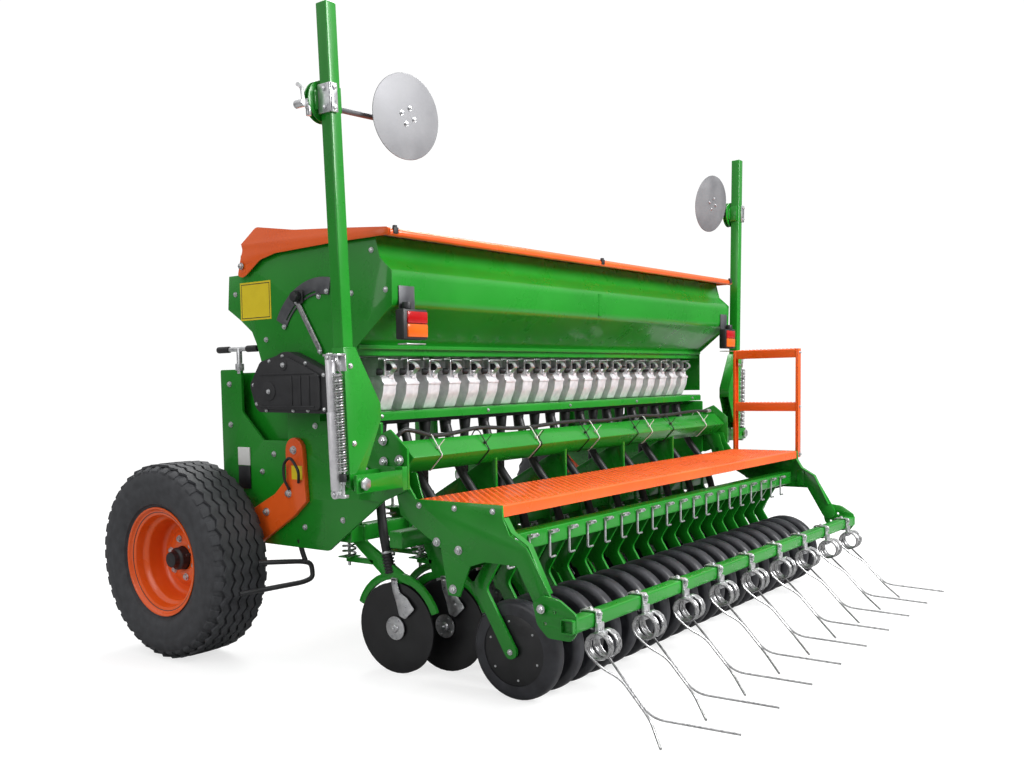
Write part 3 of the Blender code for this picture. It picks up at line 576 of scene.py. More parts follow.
def moulded(name, dark, light, rough, scale=30.0, relief=0.12, grain=900.0):
    """Rubber or plastic: a dull colour with a little bloom and a fine moulded grain."""
    mat, tree, shader, place = surface(name)
    bloom = noise(tree, place, scale, 4.0)
    tree.links.new(ramp(tree, bloom, [(0.35, dark), (0.75, light)]), shader.inputs["Base Color"])
    tree.links.new(spread(tree, bloom, *rough), shader.inputs["Roughness"])
    bump(tree, shader, noise(tree, place, grain, 2.0), relief)
    return mat


GREEN = painted("green_gloss", (0.006, 0.185, 0.01), (0.011, 0.25, 0.015))
ORANGE = painted("orange_gloss", (0.72, 0.085, 0.008), (0.86, 0.125, 0.014))
ZINC = plated("bright_zinc", (0.5, 0.51, 0.53), (0.74, 0.74, 0.75), (0.26, 0.42))
CAST = plated("cast_outlet", (0.62, 0.61, 0.64), (0.8, 0.79, 0.81), (0.35, 0.5), 45.0, 0.35)
SPRING = plated("spring_wire", (0.3, 0.3, 0.31), (0.52, 0.52, 0.52), (0.24, 0.38), 90.0)
DISC_STEEL = plated("marker_steel", (0.16, 0.16, 0.17), (0.25, 0.25, 0.26), (0.45, 0.6), 8.0, 0.35)
BLACK_STEEL = moulded("black_disc_steel", (0.007, 0.007, 0.008), (0.015, 0.015, 0.017), (0.3, 0.45), 14.0,
    0.04)
TYRE_RUBBER = moulded("tyre_rubber", (0.028, 0.029, 0.033), (0.056, 0.058, 0.064), (0.6, 0.78))
WHEEL_RUBBER = moulded("press_wheel_rubber", (0.014, 0.014, 0.018), (0.032, 0.033, 0.04), (0.34, 0.48),
    22.0, 0.05)
HOSE = moulded("hose_rubber", (0.01, 0.01, 0.011), (0.022, 0.022, 0.024), (0.4, 0.55))
PLASTIC = moulded("charcoal_plastic", (0.01, 0.01, 0.012), (0.02, 0.02, 0.023), (0.42, 0.56), 18.0, 0.2)
GREY_STEEL = plated("dark_plate", (0.075, 0.077, 0.085), (0.12, 0.122, 0.13), (0.4, 0.52), 26.0, 0.5)
YELLOW = moulded("yellow_label", (0.72, 0.55, 0.01), (0.8, 0.63, 0.016), (0.35, 0.45), 12.0, 0.02)
RED = moulded("red_lens", (0.38, 0.004, 0.006), (0.52, 0.008, 0.01), (0.12, 0.2), 12.0, 0.03)
AMBER = moulded("amber_lens", (0.62, 0.1, 0.006), (0.76, 0.15, 0.01), (0.12, 0.2), 12.0, 0.03)
WHITE = moulded("white_nylon", (0.66, 0.66, 0.64), (0.78, 0.78, 0.76), (0.35, 0.48), 12.0, 0.05)

# %% [markdown]
# ## Bolts
#
# Hundreds of hexagon heads hold the machine together. One head with its washer is modelled once,
# from a six-sided cylinder whose rim is bevelled, and every bolt is a copy of its mesh, turned to
# point out of its plate. The heads of one part of the machine become one piece.

# %% Model one bolt head and a way to set many
washer = bar((0, 0, 0), (0, 0, 0.0016), 0.0105, 20)
head = bar((0, 0, 0.0014), (0, 0, 0.0075), 0.0083, 6, edge=0.0008)
thread = bar((0, 0, 0.007), (0, 0, 0.01), 0.0042, 10, edge=0.0006)
BOLT = joined([head, washer, thread])
BOLT.name = "bolt_pattern"

TURNS = (("-X", -90, "Y"), ("+X", 90, "Y"), ("-Y", 90, "X"), ("+Y", -90, "X"), ("+Z", 0, "X"))
WAYS = {way: Matrix.Rotation(radians(turn), 4, axis) for way, turn, axis in TURNS}


def bolts(places, way, size=1.0):
    """Copies of the bolt head at the places, all pointing one way."""
    return [copied(BOLT, at(*place) @ WAYS[way] @ Matrix.Scale(size, 4)) for place in places]


print("bolt head:", len(BOLT.data.polygons), "faces")

# %% [markdown]
# ## Carrying wheels
#
# The implement tyre has five wavy ribs round its tread and a row of pads on each shoulder. The
# carcass is one profile spun round the axle. A rib is too regular to sculpt: one wave of it is a
# subdivided block whose slices are pushed sideways, and forty copies of the wave close the ring.

# %% Spin the carcass and wrap the tread
TREAD = 0.0085                       # depth of the grooves between the ribs
WAVES = 40
WAVE_LONG = 2 * pi * TYRE_R / WAVES
PAD_IN = 0.096                       # where a shoulder pad starts, from the tyre's middle


def carcass(x):
    half = [(0.1908, 0.099), (0.214, 0.106), (0.221, 0.109), (0.226, 0.1185), (0.231, 0.1195),
        (0.236, 0.1235), (0.26, 0.13), (0.292, 0.1318), (0.299, 0.1306), (0.304, 0.132), (0.326, 0.13),
        (0.345, 0.124), (0.356, 0.115), (0.364, 0.1), (0.37, 0.06)]
    loop = [(TYRE_R - TREAD, 0.0)] + [(r, -w) for r, w in reversed(half)] + half
    return turned(loop, (x, TYRE.y, TYRE_R), "X", 120)


def wave_of_rib(offset, width, sway, swell=0.0):
    """One wave of a tread rib, standing on top of the tyre: a block cut in four along its length."""
    rib = block((offset - width / 2, offset + width / 2), (-WAVE_LONG / 2, WAVE_LONG / 2),
        (TYRE_R - TREAD - 0.003, TYRE_R - swell))
    edit_all()
    for quarter in (-0.25, 0.0, 0.25):
        bpy.ops.mesh.select_all(action="SELECT")
        bpy.ops.mesh.bisect(plane_co=(0, WAVE_LONG * quarter, 0), plane_no=(0, 1, 0))
    leave()
    for vertex in rib.data.vertices:
        vertex.co.x += sway * sin(2 * pi * vertex.co.y / WAVE_LONG)
        vertex.co.z -= TYRE_R * (1 - cos(vertex.co.y / TYRE_R))
    return rib


def tread(x):
    ribs = [wave_of_rib(k * 0.04, 0.029, 0.0075, 0.0002 + 0.0006 * k * k) for k in (-2, -1, 0, 1, 2)]
    for flip in (True, False):
        pad = block((PAD_IN, 0.124), (-WAVE_LONG * 0.3, WAVE_LONG * 0.3),
            (TYRE_R - 0.034, TYRE_R - 0.0095), 0.003)
        for vertex in pad.data.vertices:
            vertex.co.z -= (vertex.co.x - PAD_IN) * 0.55
        ribs.append(mirrored(pad) if flip else pad)
    wave = joined(ribs)
    ring = [copied(wave, at(x, TYRE.y, TYRE_R) @ Matrix.Rotation(2 * pi * i / WAVES, 4, "X"))
        for i in range(WAVES)]
    dropped(wave)
    return joined(ring)


for name, x in (("left", TYRE.x), ("right", -TYRE.x)):
    rubber = joined([carcass(x), tread(x)])
    done(rubber, "tyre_rubber_" + name, "carrying_wheel_" + name, TYRE_RUBBER, "tyre_" + name)
print("tyre:", counts["tyre_rubber_left"], "triangles")

# %% [markdown]
# ## Rims
#
# The rim is deep: seen from outside, the wall steps down to a narrow well, and the disc stands at
# the back with its six nuts round a black hub. It is one closed profile as well, with rounded
# corners, so that the paint shows a highlight on every step.

# %% Spin the rims and set hub, nuts and valve
def rim_profile():
    outside = [(0.2125, -0.113), (0.206, -0.1125), (0.2, -0.104), (0.196, -0.099), (0.18, -0.096),
        (0.176, -0.062), (0.158, -0.052), (0.156, 0.012), (0.142, 0.024), (0.115, 0.02), (0.096, 0.002),
        (0.072, -0.002), (0.046, -0.002)]
    inside = [(0.046, 0.008), (0.072, 0.008), (0.092, 0.012), (0.112, 0.03), (0.144, 0.036),
        (0.166, 0.042), (0.18, 0.062), (0.184, 0.096), (0.196, 0.099), (0.2, 0.104), (0.206, 0.1125),
        (0.2125, 0.113), (0.213, 0.107), (0.19, 0.0995), (0.19, -0.0995), (0.213, -0.107)]
    return filleted(outside + inside, 0.006, 2, True)


def spokes(count, r, x, start=0.0):
    """Places round the hub at a radius, for nuts and bolts."""
    turns = [start + 2 * pi * i / count for i in range(count)]
    return [(x, TYRE.y + r * cos(a), TYRE_R + r * sin(a)) for a in turns]


x = TYRE.x
AXLE = (x, TYRE.y, TYRE_R)
rim = turned(rim_profile(), AXLE, "X", 96)
both(rim, "rim_paint", "carrying_wheel", ORANGE, "wheel_rim")
hub_line = [(0.044, 0.07), (0.044, -0.033), (0.033, -0.04), (0.03, -0.062), (0.0, -0.064), (0.0, 0.07)]
hub = turned(filleted(hub_line, 0.003, 2, True), AXLE, "X", 40)
flange_line = [(0.06, 0.012), (0.06, 0.02), (0.03, 0.02), (0.03, 0.012)]
flange = turned(filleted(flange_line, 0.001, 2, True), AXLE, "X", 32)
valve = bar((x - 0.064, TYRE.y - 0.15, TYRE_R + 0.04), (x - 0.09, TYRE.y - 0.14, TYRE_R + 0.036), 0.006)
both([hub, flange, valve], "hub", "carrying_wheel", PLASTIC)
nuts = joined(bolts(spokes(6, 0.076, x - 0.002, 0.3), "-X", 1.35))
both(nuts, "wheel_nuts", "carrying_wheel", ZINC)
print("rim:", counts["rim_paint_left"], "triangles")

# %% [markdown]
# ## Wheel arms
#
# Each carrying wheel stands on a thick bent plate that is bolted to the side frame. The packed
# plate already has the right outline, so a copy of it gets rounded edges. A blank yellow label, a
# black cable loop and a tyre scraper made of bent bar go with it.

# %% Round the arms and add what they carry
soft_pair("wheel_arm", 0.0025, "wheel_arm_paint", ORANGE)
face = -FRAME_X - 0.0223                 # outer face of the left wheel arm
heads = bolts([(face, 0.047, 0.81), (face, 0.081, 0.646), (face, 0.209, 0.568)], "-X", 1.5)
heads += bolts([(face, 0.486, 0.332), (face, 0.5, 0.425)], "-X", 1.3)
both(heads, "wheel_arm_bolts", "drill", ZINC)
label = block((face - 0.0006, face + 0.0002), (0.004, 0.062), (0.7, 0.752), 0.0003, 1)
both(label, "wheel_arm_label", "drill", YELLOW)
loop = filleted([(face - 0.006, 0.02, 0.69), (face - 0.03, -0.01, 0.735), (face - 0.034, 0.03, 0.79),
    (face - 0.02, 0.085, 0.76), (face - 0.016, 0.088, 0.7), (face - 0.006, 0.07, 0.66)], 0.03, 5)
both(wire(loop, 0.0055), "arm_cable", "drill", HOSE)
fork = filleted([(-1.44, 0.128, 0.396), (-1.3, 0.05, 0.388), (-1.262, 0.034, 0.378),
    (-1.262, 0.026, 0.322), (-1.3, 0.04, 0.31), (-1.54, 0.122, 0.296)], 0.02, 4)
stem = bent([(-1.28, 0.045, 0.385), (-1.285, 0.06, 0.43), (-1.294, 0.06, 0.47)], 0.02, 0.01)
both([wire(fork, 0.0095), stem], "tyre_scraper", "drill", PLASTIC)
print("arms: 2, with labels, cables and scrapers")

# %% [markdown]
# ## Hopper
#
# The tank is folded from 3 mm sheet. A fold is never sharp: its outside shows a soft highlight.
# So each wall is drawn as a section line, the corners are rounded, and the line is extruded along
# the machine. The flat ends keep their packed outline and get rounded rims and a row of bolts.

# %% Fold the walls and dress the ends
INNER = 1.3567                           # inner faces of the hopper's ends
rear = run([(-0.395, 1.553), (-0.42, 1.553), (-0.443, 1.47), (PANEL_Y, 1.423), (PANEL_Y, 1.318),
    (-0.318, 1.19), (-0.318, 1.151)], 0.003, INNER, r=0.02)
seam = block((-0.012, 0.012), (PANEL_Y - 0.003, PANEL_Y - 0.001), (1.322, 1.419), 0.0008, 1)
hem = run([(-0.3205, 1.186), (-0.3345, 1.186), (-0.3345, 1.172), (-0.3205, 1.172)], 0.002, INNER, r=0.004)
done([rear, seam, hem], "hopper_rear_panel", "drill", GREEN, "hopper_rear_wall")
front = run([(-0.316, 1.15), (-0.14, 1.15), (0.19, 1.25), (0.335, 1.345), (0.335, 1.469), (0.27, 1.469),
    (0.262, 1.545)], 0.003, INNER, r=0.02)
ribs = [block((x - 0.003, x + 0.003), (-0.24, 0.2), (1.225, 1.243), 0.001, 1) for x in (-0.45, 0.45)]
for rib in ribs:
    for vertex in rib.data.vertices:
        vertex.co.z += (vertex.co.y + 0.14) * 0.303 - 0.085
done([front, *ribs], "hopper_front_panel", "drill", GREEN, "hopper_front_wall")

soft_pair("hopper_end", 0.0016, "hopper_end_panel", GREEN)
face = -1.3625                           # outer face of the hopper's left end
heads = bolts([(face, 0.133, 1.222), (face, -0.151, 1.363), (face, -0.311, 1.363), (face, -0.47, 1.364),
    (face, 0.3, 1.4), (face, -0.3, 1.235), (face, -0.41, 1.5)], "-X", 0.95)
hinge = bolts([(-1.3855, 0.235, 1.5)], "-X", 1.25)
both(heads + hinge, "hopper_bolts", "drill", ZINC)
label = block((face - 0.0006, face + 0.0002), (0.101, 0.273), (1.298, 1.44), 0.0003, 1)
both(label, "hopper_label", "drill", YELLOW)
border = []
for y, z, wide, high in ((0.187, 1.432, 0.078, 0.0015), (0.187, 1.306, 0.078, 0.0015),
        (0.109, 1.369, 0.0015, 0.0645), (0.265, 1.369, 0.0015, 0.0645)):
    border.append(block((face - 0.0009, face - 0.0004), (y - wide, y + wide), (z - high, z + high),
        0.0002, 1))
both(border, "label_border", "drill", PLASTIC)
print("hopper: 2 folded walls, 2 ends")

# %% [markdown]
# ## Lid
#
# The lid is a long orange sheet with a cheek at each end. Its rear lip rolls over the hopper's
# edge, a shallow bead stiffens the top, and small black latches hold it. All of it rides on the
# lid's own body, so it opens with the hinge.

# %% Fold the lid
sheet = run([(-0.5, 1.541), (-0.5045, 1.565), (-0.3, 1.5835), (-0.05, 1.6035), (0.153, 1.6352),
    (0.24, 1.58)], 0.003, 1.3792, r=0.014)
cheek_line = [(0.264, 1.466), (0.244, 1.532), (0.231, 1.56), (0.24, 1.5795), (0.153, 1.636),
    (-0.05, 1.604), (-0.503, 1.566), (-0.503, 1.541), (-0.23, 1.54), (0.054, 1.532), (0.137, 1.515),
    (0.215, 1.466), (0.236, 1.457)]
cheeks = [cut(cheek_line, 0.01, low, low + 0.004, 0.0012, [arc(0.235, 1.5, 0.0088, 360, 15, 23)])
    for low in (-1.38, 1.376)]
beads = [block((x - 0.01, x + 0.01), (-0.44, -0.1), (1.5745, 1.579), 0.002) for x in (-0.69, 0.0, 0.69)]
for bead in beads:
    for vertex in bead.data.vertices:
        vertex.co.z += (vertex.co.y + 0.44) * 0.0802
roll = bar((-1.3765, -0.4985, 1.5505), (1.3765, -0.4985, 1.5505), 0.0125, 24, edge=0.001)
done([sheet, roll, *cheeks, *beads], "lid_sheet", "lid", ORANGE, "hopper_lid")
latches = []
for x in (-1.352, 0.0, 1.352):
    latches.append(block((x - 0.012, x + 0.012), (-0.516, -0.5055), (1.545, 1.566), 0.003))
    latches.append(bar((x, -0.508, 1.562), (x, -0.508, 1.573), 0.008, 16, edge=0.002))
done(latches, "lid_latches", "lid", PLASTIC)
grip = bent([(-0.06, 0.02, 1.608), (-0.06, 0.02, 1.636), (0.06, 0.02, 1.636), (0.06, 0.02, 1.608)], 0.012,
    0.005, steps=4)
done(grip, "lid_grip", "lid", PLASTIC)

# %% [markdown]
# ## Metering outlets
#
# Twenty cast outlets hang in a row under the tank. Each has a wide chute with a rounded back, a
# slide plate bent from zinc strip, a black stop and a short neck. One outlet is modelled with care
# and copied along the rows.

# %% Cast one outlet and copy it twenty times
def cast_outlet():
    chute = cut([(-0.306, 1.078), (-0.322, 1.05), (-0.316, 1.01), (-0.29, 0.9535), (-0.19, 0.9535),
        (-0.152, 1.062), (-0.16, 1.078)], 0.008, -0.033, 0.035, 0.006)
    neck = block((-0.026, 0.018), (-0.292, -0.17), (1.074, 1.147), 0.006)
    ear = block((0.004, 0.03), (-0.316, -0.296), (1.066, 1.096), 0.004)
    lip = block((-0.036, 0.036), (-0.3255, -0.312), (1.044, 1.056), 0.003)
    return joined([chute, neck, ear, lip])


def slide():
    """The bent strip that opens and shuts one outlet."""
    strip = run([(-0.296, 1.1345), (-0.35, 1.126), (-0.36, 1.106), (-0.318, 1.078)], 0.003, 0.01, -0.012,
        r=0.008)
    for vertex in strip.data.vertices:
        vertex.co.x += (1.106 - vertex.co.z) * 0.45 - 0.012
    blade = block((-0.03, 0.034), (-0.334, -0.29), (1.1335, 1.1375), 0.0015)
    arm = block((-0.036, -0.028), (-0.33, -0.3), (1.078, 1.1355), 0.0015)
    return joined([strip, blade, arm])


def stop():
    """The black knob and spacer beside each slide."""
    knob = bar((-0.046, -0.3, 1.092), (-0.024, -0.318, 1.092), 0.0125, 16, edge=0.002)
    spacer = block((0.032, 0.056), (-0.312, -0.262), (1.092, 1.122), 0.004)
    return joined([knob, spacer])


def row_copies(pattern, rows=range(ROWS)):
    """The pattern, drawn at x = 0, copied to each row."""
    made = joined([copied(pattern, at(ROW_X[i], 0, 0)) for i in rows])
    dropped(pattern)
    return made


shaft = bar((-INNER, -0.229, 1.058), (INNER, -0.229, 1.058), 0.012, 24)
done([row_copies(cast_outlet()), shaft], "metering_outlets", "drill", CAST, "metering_units")
done(row_copies(slide()), "metering_slides", "drill", ZINC)
done(row_copies(stop()), "metering_stops", "drill", PLASTIC)
rail = run([(-0.335, 0.92), (-0.335, 0.9495), (-0.13, 0.9495), (-0.13, 0.92)], 0.0035, INNER, r=0.008)
done(rail, "outlet_rail", "drill", GREEN, "metering_channel")
done(bolts([(x, -0.337, 0.935) for x in (-1.25, -0.62, 0.0, 0.62, 1.25)], "-Y", 0.7), "rail_bolts",
    "drill", ZINC)
print("metering: %d outlets, %d triangles" % (ROWS, counts["metering_outlets"]))

# %% [markdown]
# ## Seed tubes
#
# Rubber tubes carry the grain from the outlets down to the discs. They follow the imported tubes'
# own line, with the bends rounded, and end in a ribbed boot that can flex as the opener floats.

# %% Bend the tubes
def tube_line(i):
    if i % 2 == 0:
        line = [(-0.27, 0.905), (-0.262, 0.75), (-0.26, 0.62), (-0.272, 0.5), (-0.305, 0.362)]
    else:
        line = [(-0.27, 0.905), (-0.3, 0.8), (-0.345, 0.7), (-0.42, 0.61), (-0.467, 0.5), (-0.495, 0.362)]
    return [(ROW_X[i], y, z) for y, z in filleted(line, 0.045, 4)]


def boot(line):
    """Rings stacked along a tube's last stretch."""
    low, high = Vector(line[-1]), Vector(line[-2])
    return [bar(low.lerp(high, t), low.lerp(high, t + 0.07), 0.0225, 14, edge=0.002) for t in (0.02, 0.14,
        0.26, 0.38, 0.5, 0.62)]


tubes, clips = [], []
for i in range(ROWS):
    line = tube_line(i)
    tubes.append(wire(line, 0.0175, 12))
    tubes += boot(line)
    tubes.append(bar(line[0], Vector(line[0]) - Vector((0, 0, 0.05)), 0.024, 16, 0.019, edge=0.002))
    low, high = Vector(line[-1]), Vector(line[-2])
    end = low.lerp(high, 0.75)
    clips.append(bar(end, end + (high - low).normalized() * 0.008, 0.0205, 16, edge=0.001))
strip = block((ROW_X[0] - 0.03, ROW_X[-1] + 0.03), (-0.3, -0.24), (0.904, 0.9455), 0.003)
done([strip, *tubes], "rubber_seed_tubes", "drill", HOSE, "seed_tubes")
done(clips, "tube_clips", "drill", ZINC)
print("tubes:", counts["rubber_seed_tubes"], "triangles")

# %% [markdown]
# ## Left end: gearbox cover, setting arc and lever
#
# A charcoal cover hides the chain drive. Its face is stepped: a smaller plate stands on a larger
# one, ribs cross the lower half and small bolts follow its rim. Above it a dark arc with a slot
# shows the seed rate, and a hand lever swings along it.

# %% Mould the cover and cut the arc
cover_line = [(0.128, 0.954), (0.15, 0.97), (0.179, 1.055), (0.119, 1.139), *arc(-0.02, 1.08, 0.092, 60,
    110, 6), (-0.12, 1.14), (-0.225, 1.095), (-0.225, 0.95)]
middle = Vector((-0.03, 1.04))
raised_line = [tuple(middle + (Vector(p) - middle) * 0.86) for p in cover_line]
shell = cut(cover_line, 0.012, -1.41, -1.3623, 0.004)
step = cut(raised_line, 0.01, -1.4215, -1.408, 0.004)
ribs = [block((-1.4243, -1.419), (y - 0.004, y + 0.004), (0.98, 1.085), 0.0015) for y in (-0.15, -0.105,
    -0.06)]
ribs += [block((-1.4243, -1.419), (-0.175, 0.11), (z - 0.003, z + 0.003), 0.0015) for z in (1.092, 0.974)]
boss = [bar((-1.4243, 0.06, 1.03), (-1.415, 0.06, 1.03), 0.034, 28, edge=0.002),
    bar((-1.4243, -0.02, 1.125), (-1.415, -0.02, 1.125), 0.02, 24, edge=0.002)]
done([shell, step, *ribs, *boss], "gearbox_shell", "drill", PLASTIC, "gearbox_cover")
rim = [(-0.005, 1.156), (-0.123, 1.128), (0.067, 1.14), (0.158, 1.055), (0.143, 0.985), (-0.054, 0.961),
    (-0.13, 0.961), (0.09, 0.961), (-0.212, 0.965), (-0.212, 1.085)]
done(bolts([(-1.4102, y, z) for y, z in rim], "-X", 0.7) + bolts([(-1.4243, 0.06, 1.03),
    (-1.4243, -0.02, 1.125)], "-X", 0.9), "gearbox_bolts", "drill", ZINC)

HUB = (-0.162, 1.168)
ARC_R = 0.262
band = plate(arc(*HUB, ARC_R, 28, 102, 18) + arc(*HUB, ARC_R - 0.06, 102, 28, 18), "X", -1.3676, -1.3628,
    0.0008, holes=[arc(*HUB, ARC_R - 0.046, 34, 84, 14) + arc(*HUB, ARC_R - 0.053, 84, 34, 14)])
done(band, "rate_arc", "drill", GREY_STEEL, "rate_quadrant")
aim = radians(58)
along, across = Vector((cos(aim), sin(aim))), Vector((-sin(aim), cos(aim)))
hub = Vector(HUB)
lever_line = [hub - across * 0.01, hub + along * 0.232 - across * 0.011, hub + along * 0.232
    + across * 0.011, hub + across * 0.01]
lever = cut([tuple(p) for p in lever_line], 0.006, -1.374, -1.369, 0.0008)
done(lever, "rate_lever", "drill", SPRING)
tip = hub + along * 0.225 + across * 0.016
knob = bar((-1.3745, *tip), (-1.402, *tip), 0.021, 24, 0.018, edge=0.004)
pad = block((-1.377, -1.3735), (tip.x - 0.026, tip.x + 0.026), (tip.y - 0.024, tip.y + 0.024), 0.003)
done([knob, pad], "rate_knob", "drill", PLASTIC)
pins = [(-1.3678, *p) for p in arc(*HUB, ARC_R - 0.05, 27, 99, 1)]
done(bolts([(-1.3742, *hub), (-1.3742, *(hub + along * 0.215))] + pins, "-X", 0.9), "rate_bolts", "drill",
    ZINC)
print("left end: cover, arc, lever")

# %% [markdown]
# ## Side frames and rear lamps
#
# Each side frame is a plate cut to one filleted outline, with a lip along its front edge and a thin
# guard behind its notch. It gets bolts, a two-part reflector on the front post and the small crank
# that sets the sowing depth. The lamps are dark housings with a red and an amber lens.

# %% Finish the side frames
frame_line = [(0.485, 1.117), (0.485, 0.6), (0.3, 0.44), (-0.1, 0.44), (-0.375, 0.64), (-0.375, 0.9175),
    (-0.11, 0.9175), (-0.11, 1.06), (0.1, 1.06), (0.1, 0.842), (0.243, 0.842), (0.36, 0.95),
    (0.36, 1.117)]
web = cut(frame_line, 0.008, -FRAME_X, -FRAME_X + 0.012, 0.002)
lip = block((-FRAME_X + 0.004, -FRAME_X + 0.1), (0.4755, 0.485), (0.612, 1.115), 0.002)
spacer = block((-1.3565, -FRAME_X + 0.004), (-0.1, 0.05), (0.985, 1.045), 0.003)
guard = cut([(0.42, 1.104), (0.42, 0.78), (0.09, 0.78), (0.09, 1.104)], 0.01, -FRAME_X + 0.05,
    -FRAME_X + 0.053, 0.001)
edge = block((-FRAME_X + 0.01, -FRAME_X + 0.053), (0.417, 0.42), (0.79, 1.096), 0.001)
both([web, lip, spacer, guard, edge], "side_frame_paint", "drill", GREEN, "side_frame")
face = -FRAME_X - 0.0002
places = [(0.43, 1.06), (0.43, 0.9), (0.25, 0.72), (0.33, 0.56), (0.02, 0.52), (-0.18, 0.56),
    (-0.3, 0.66), (0.18, 0.79), (-0.05, 0.9)]
both(bolts([(face, y, z) for y, z in places], "-X", 1.1), "side_frame_bolts", "drill", ZINC)
dark = block((face - 0.006, face + 0.0002), (0.318, 0.388), (0.65, 0.738), 0.002)
both(dark, "reflector_base", "drill", PLASTIC)
pale = block((face - 0.006, face + 0.0002), (0.318, 0.388), (0.741, 0.812), 0.002)
both(pale, "reflector", "drill", WHITE)
x, y, top = -1.294, 0.373, 1.196         # the depth crank's post, and the height of its handle
post = bar((x, y, 1.1), (x, y, top + 0.004), 0.011, 20, edge=0.001)
cross = bar((x, 0.285, top), (x, 0.47, top), 0.009, 20, edge=0.001)
nut = bar((x, y, 1.112), (x, y, 1.14), 0.018, 6, edge=0.002)
done([post, nut, cross], "depth_crank", "drill", ZINC)
grips = [bar((x, near, top), (x, far, top), 0.013, 20, edge=0.003) for near,
    far in ((0.262, 0.325), (0.43, 0.5))]
done(grips, "crank_grips", "drill", PLASTIC)

low, high = drawn_box("tail_light_left")
housing = block((low.x + 0.004, high.x - 0.004), (low.y + 0.006, PANEL_Y - 0.006), (1.196, 1.298), 0.006)
hood = bar((-1.315, -0.52, 1.298), (-1.315, -0.52, 1.322), 0.016, 20, edge=0.003)
both([housing, hood], "lamp_housing", "drill", PLASTIC, "tail_light")
lens = [(low.x + 0.02, high.x - 0.01), (low.y - 0.0002, low.y + 0.01)]
both(block(*lens, (1.25, 1.29), 0.004), "lamp_lens", "drill", RED)
both(block(*lens, (1.204, 1.2485), 0.004), "lamp_amber", "drill", AMBER)
tab = block((low.x + 0.027, high.x - 0.025), (-0.5005, -0.4968), (1.292, 1.378), 0.001)
both(tab, "lamp_tab", "drill", GREY_STEEL)
# A thin zinc plate under each lamp is a painted highlight: it stands for the bright highlight on the
# hopper's lower ledge.
both(block((-1.34, -1.242), (-0.54, -0.498), (1.18, 1.184), 0.001), "ledge_highlight_plate", "drill", ZINC)
print("lamps: 2")

# %% [markdown]
# ## Headstock, main beam and hose
#
# The square main beam lies on its corner and carries slanting arms. A hydraulic hose runs along its
# ridge and is held by nylon ties that wrap round both. The headstock's pins are bright zinc.

# %% Finish the beam and the hitch
done(softened("headstock", 0.002), "hitch_frame", "drill", GREEN, "headstock")
HITCH_Y = 0.457
y, top_y = HITCH_Y + 0.125, HITCH_Y + 0.06
hitch = []
for x in (-0.412, 0.412):
    hitch.append(bar((x - 0.055, y, 0.55), (x + 0.055, y, 0.55), 0.0145, 24, edge=0.002))
    hitch.append(bar((x - 0.062, y, 0.55), (x - 0.052, y, 0.55), 0.024, 24, edge=0.002))
    clip = [(x + 0.049, y, 0.528), (x + 0.049, y, 0.58), (x + 0.049, y - 0.035, 0.58),
        (x + 0.049, y - 0.035, 0.535)]
    hitch.append(bent(clip, 0.014, 0.0022, steps=4))
hitch.append(bar((-0.058, top_y, 1.16), (0.056, top_y, 1.16), 0.0132, 24, edge=0.002))
hitch.append(bar((-0.064, top_y, 1.16), (-0.054, top_y, 1.16), 0.022, 24, edge=0.002))
hitch += bolts([(x, HITCH_Y + 0.012, z) for x in (-0.44, -0.3, -0.15, 0.15, 0.3, 0.44)
    for z in (0.66, 0.74)], "+Y", 1.1)
done(hitch, "hitch_pins", "drill", ZINC)

done(softened("main_beam", 0.003), "beam_paint", "drill", GREEN, "main_beam")
BEAM_Y, BEAM_Z = -0.45, 0.795
RIDGE = BEAM_Z + 0.0566
hose = [(-1.292, -0.405, 0.77), (-1.286, -0.42, 0.845), (-1.262, -0.44, 0.892), (-1.205, -0.45, 0.883),
    (-1.124, -0.452, 0.862), (-1.039, -0.452, 0.861), (-0.95, -0.448, 0.867), (-0.857, -0.446, 0.876),
    (-0.762, -0.448, 0.874), (-0.64, -0.452, 0.864), (-0.504, -0.45, 0.861)]
WANDER = 0.004                           # how far the hose strays from the ridge
for k in range(1, 17):
    hose.append((-0.504 + k * 0.106, BEAM_Y + WANDER * sin(k * 1.7), 0.863 + WANDER * (1 - cos(k * 1.1))))
done(bent(hose, 0.035, 0.0078, 12), "hose_line", "drill", HOSE, "hydraulic_hose")
ends = [bar((-1.292, -0.405, 0.744), (-1.292, -0.405, 0.786), 0.011, 6, edge=0.001),
    bar((hose[-1][0] - 0.004, -0.45, hose[-1][2]), (hose[-1][0] + 0.03, -0.45, hose[-1][2]), 0.011, 6,
    edge=0.001)]
done(ends, "hose_fittings", "drill", ZINC)


def tie(x, r=0.0022):
    """A strap pulled round the beam and the hose, with its lock and cut end."""
    ring = [(x, BEAM_Y + 0.01, RIDGE + 0.016), (x, BEAM_Y + 0.06, BEAM_Z), (x, BEAM_Y, BEAM_Z - 0.06),
        (x, BEAM_Y - 0.06, BEAM_Z), (x, BEAM_Y - 0.01, RIDGE + 0.016)]
    band = wire(filleted(ring, 0.008, 3, True), r, 6, True)
    lock = block((x - 0.004, x + 0.004), (BEAM_Y - 0.045, BEAM_Y - 0.034),
        (BEAM_Z + 0.022, BEAM_Z + 0.032), 0.001)
    end = bar((x, BEAM_Y - 0.044, BEAM_Z + 0.03), (x + 0.012, BEAM_Y - 0.06, BEAM_Z + 0.056), 0.0016, 6)
    return joined([band, lock, end])


done([tie(x) for x in (-1.128, -0.504, -0.037, 0.456, 1.055)], "white_ties", "drill", WHITE)
done([tie(x) for x in (-0.848, -0.49, -0.123, 0.316, 0.681)], "black_ties", "drill", PLASTIC)

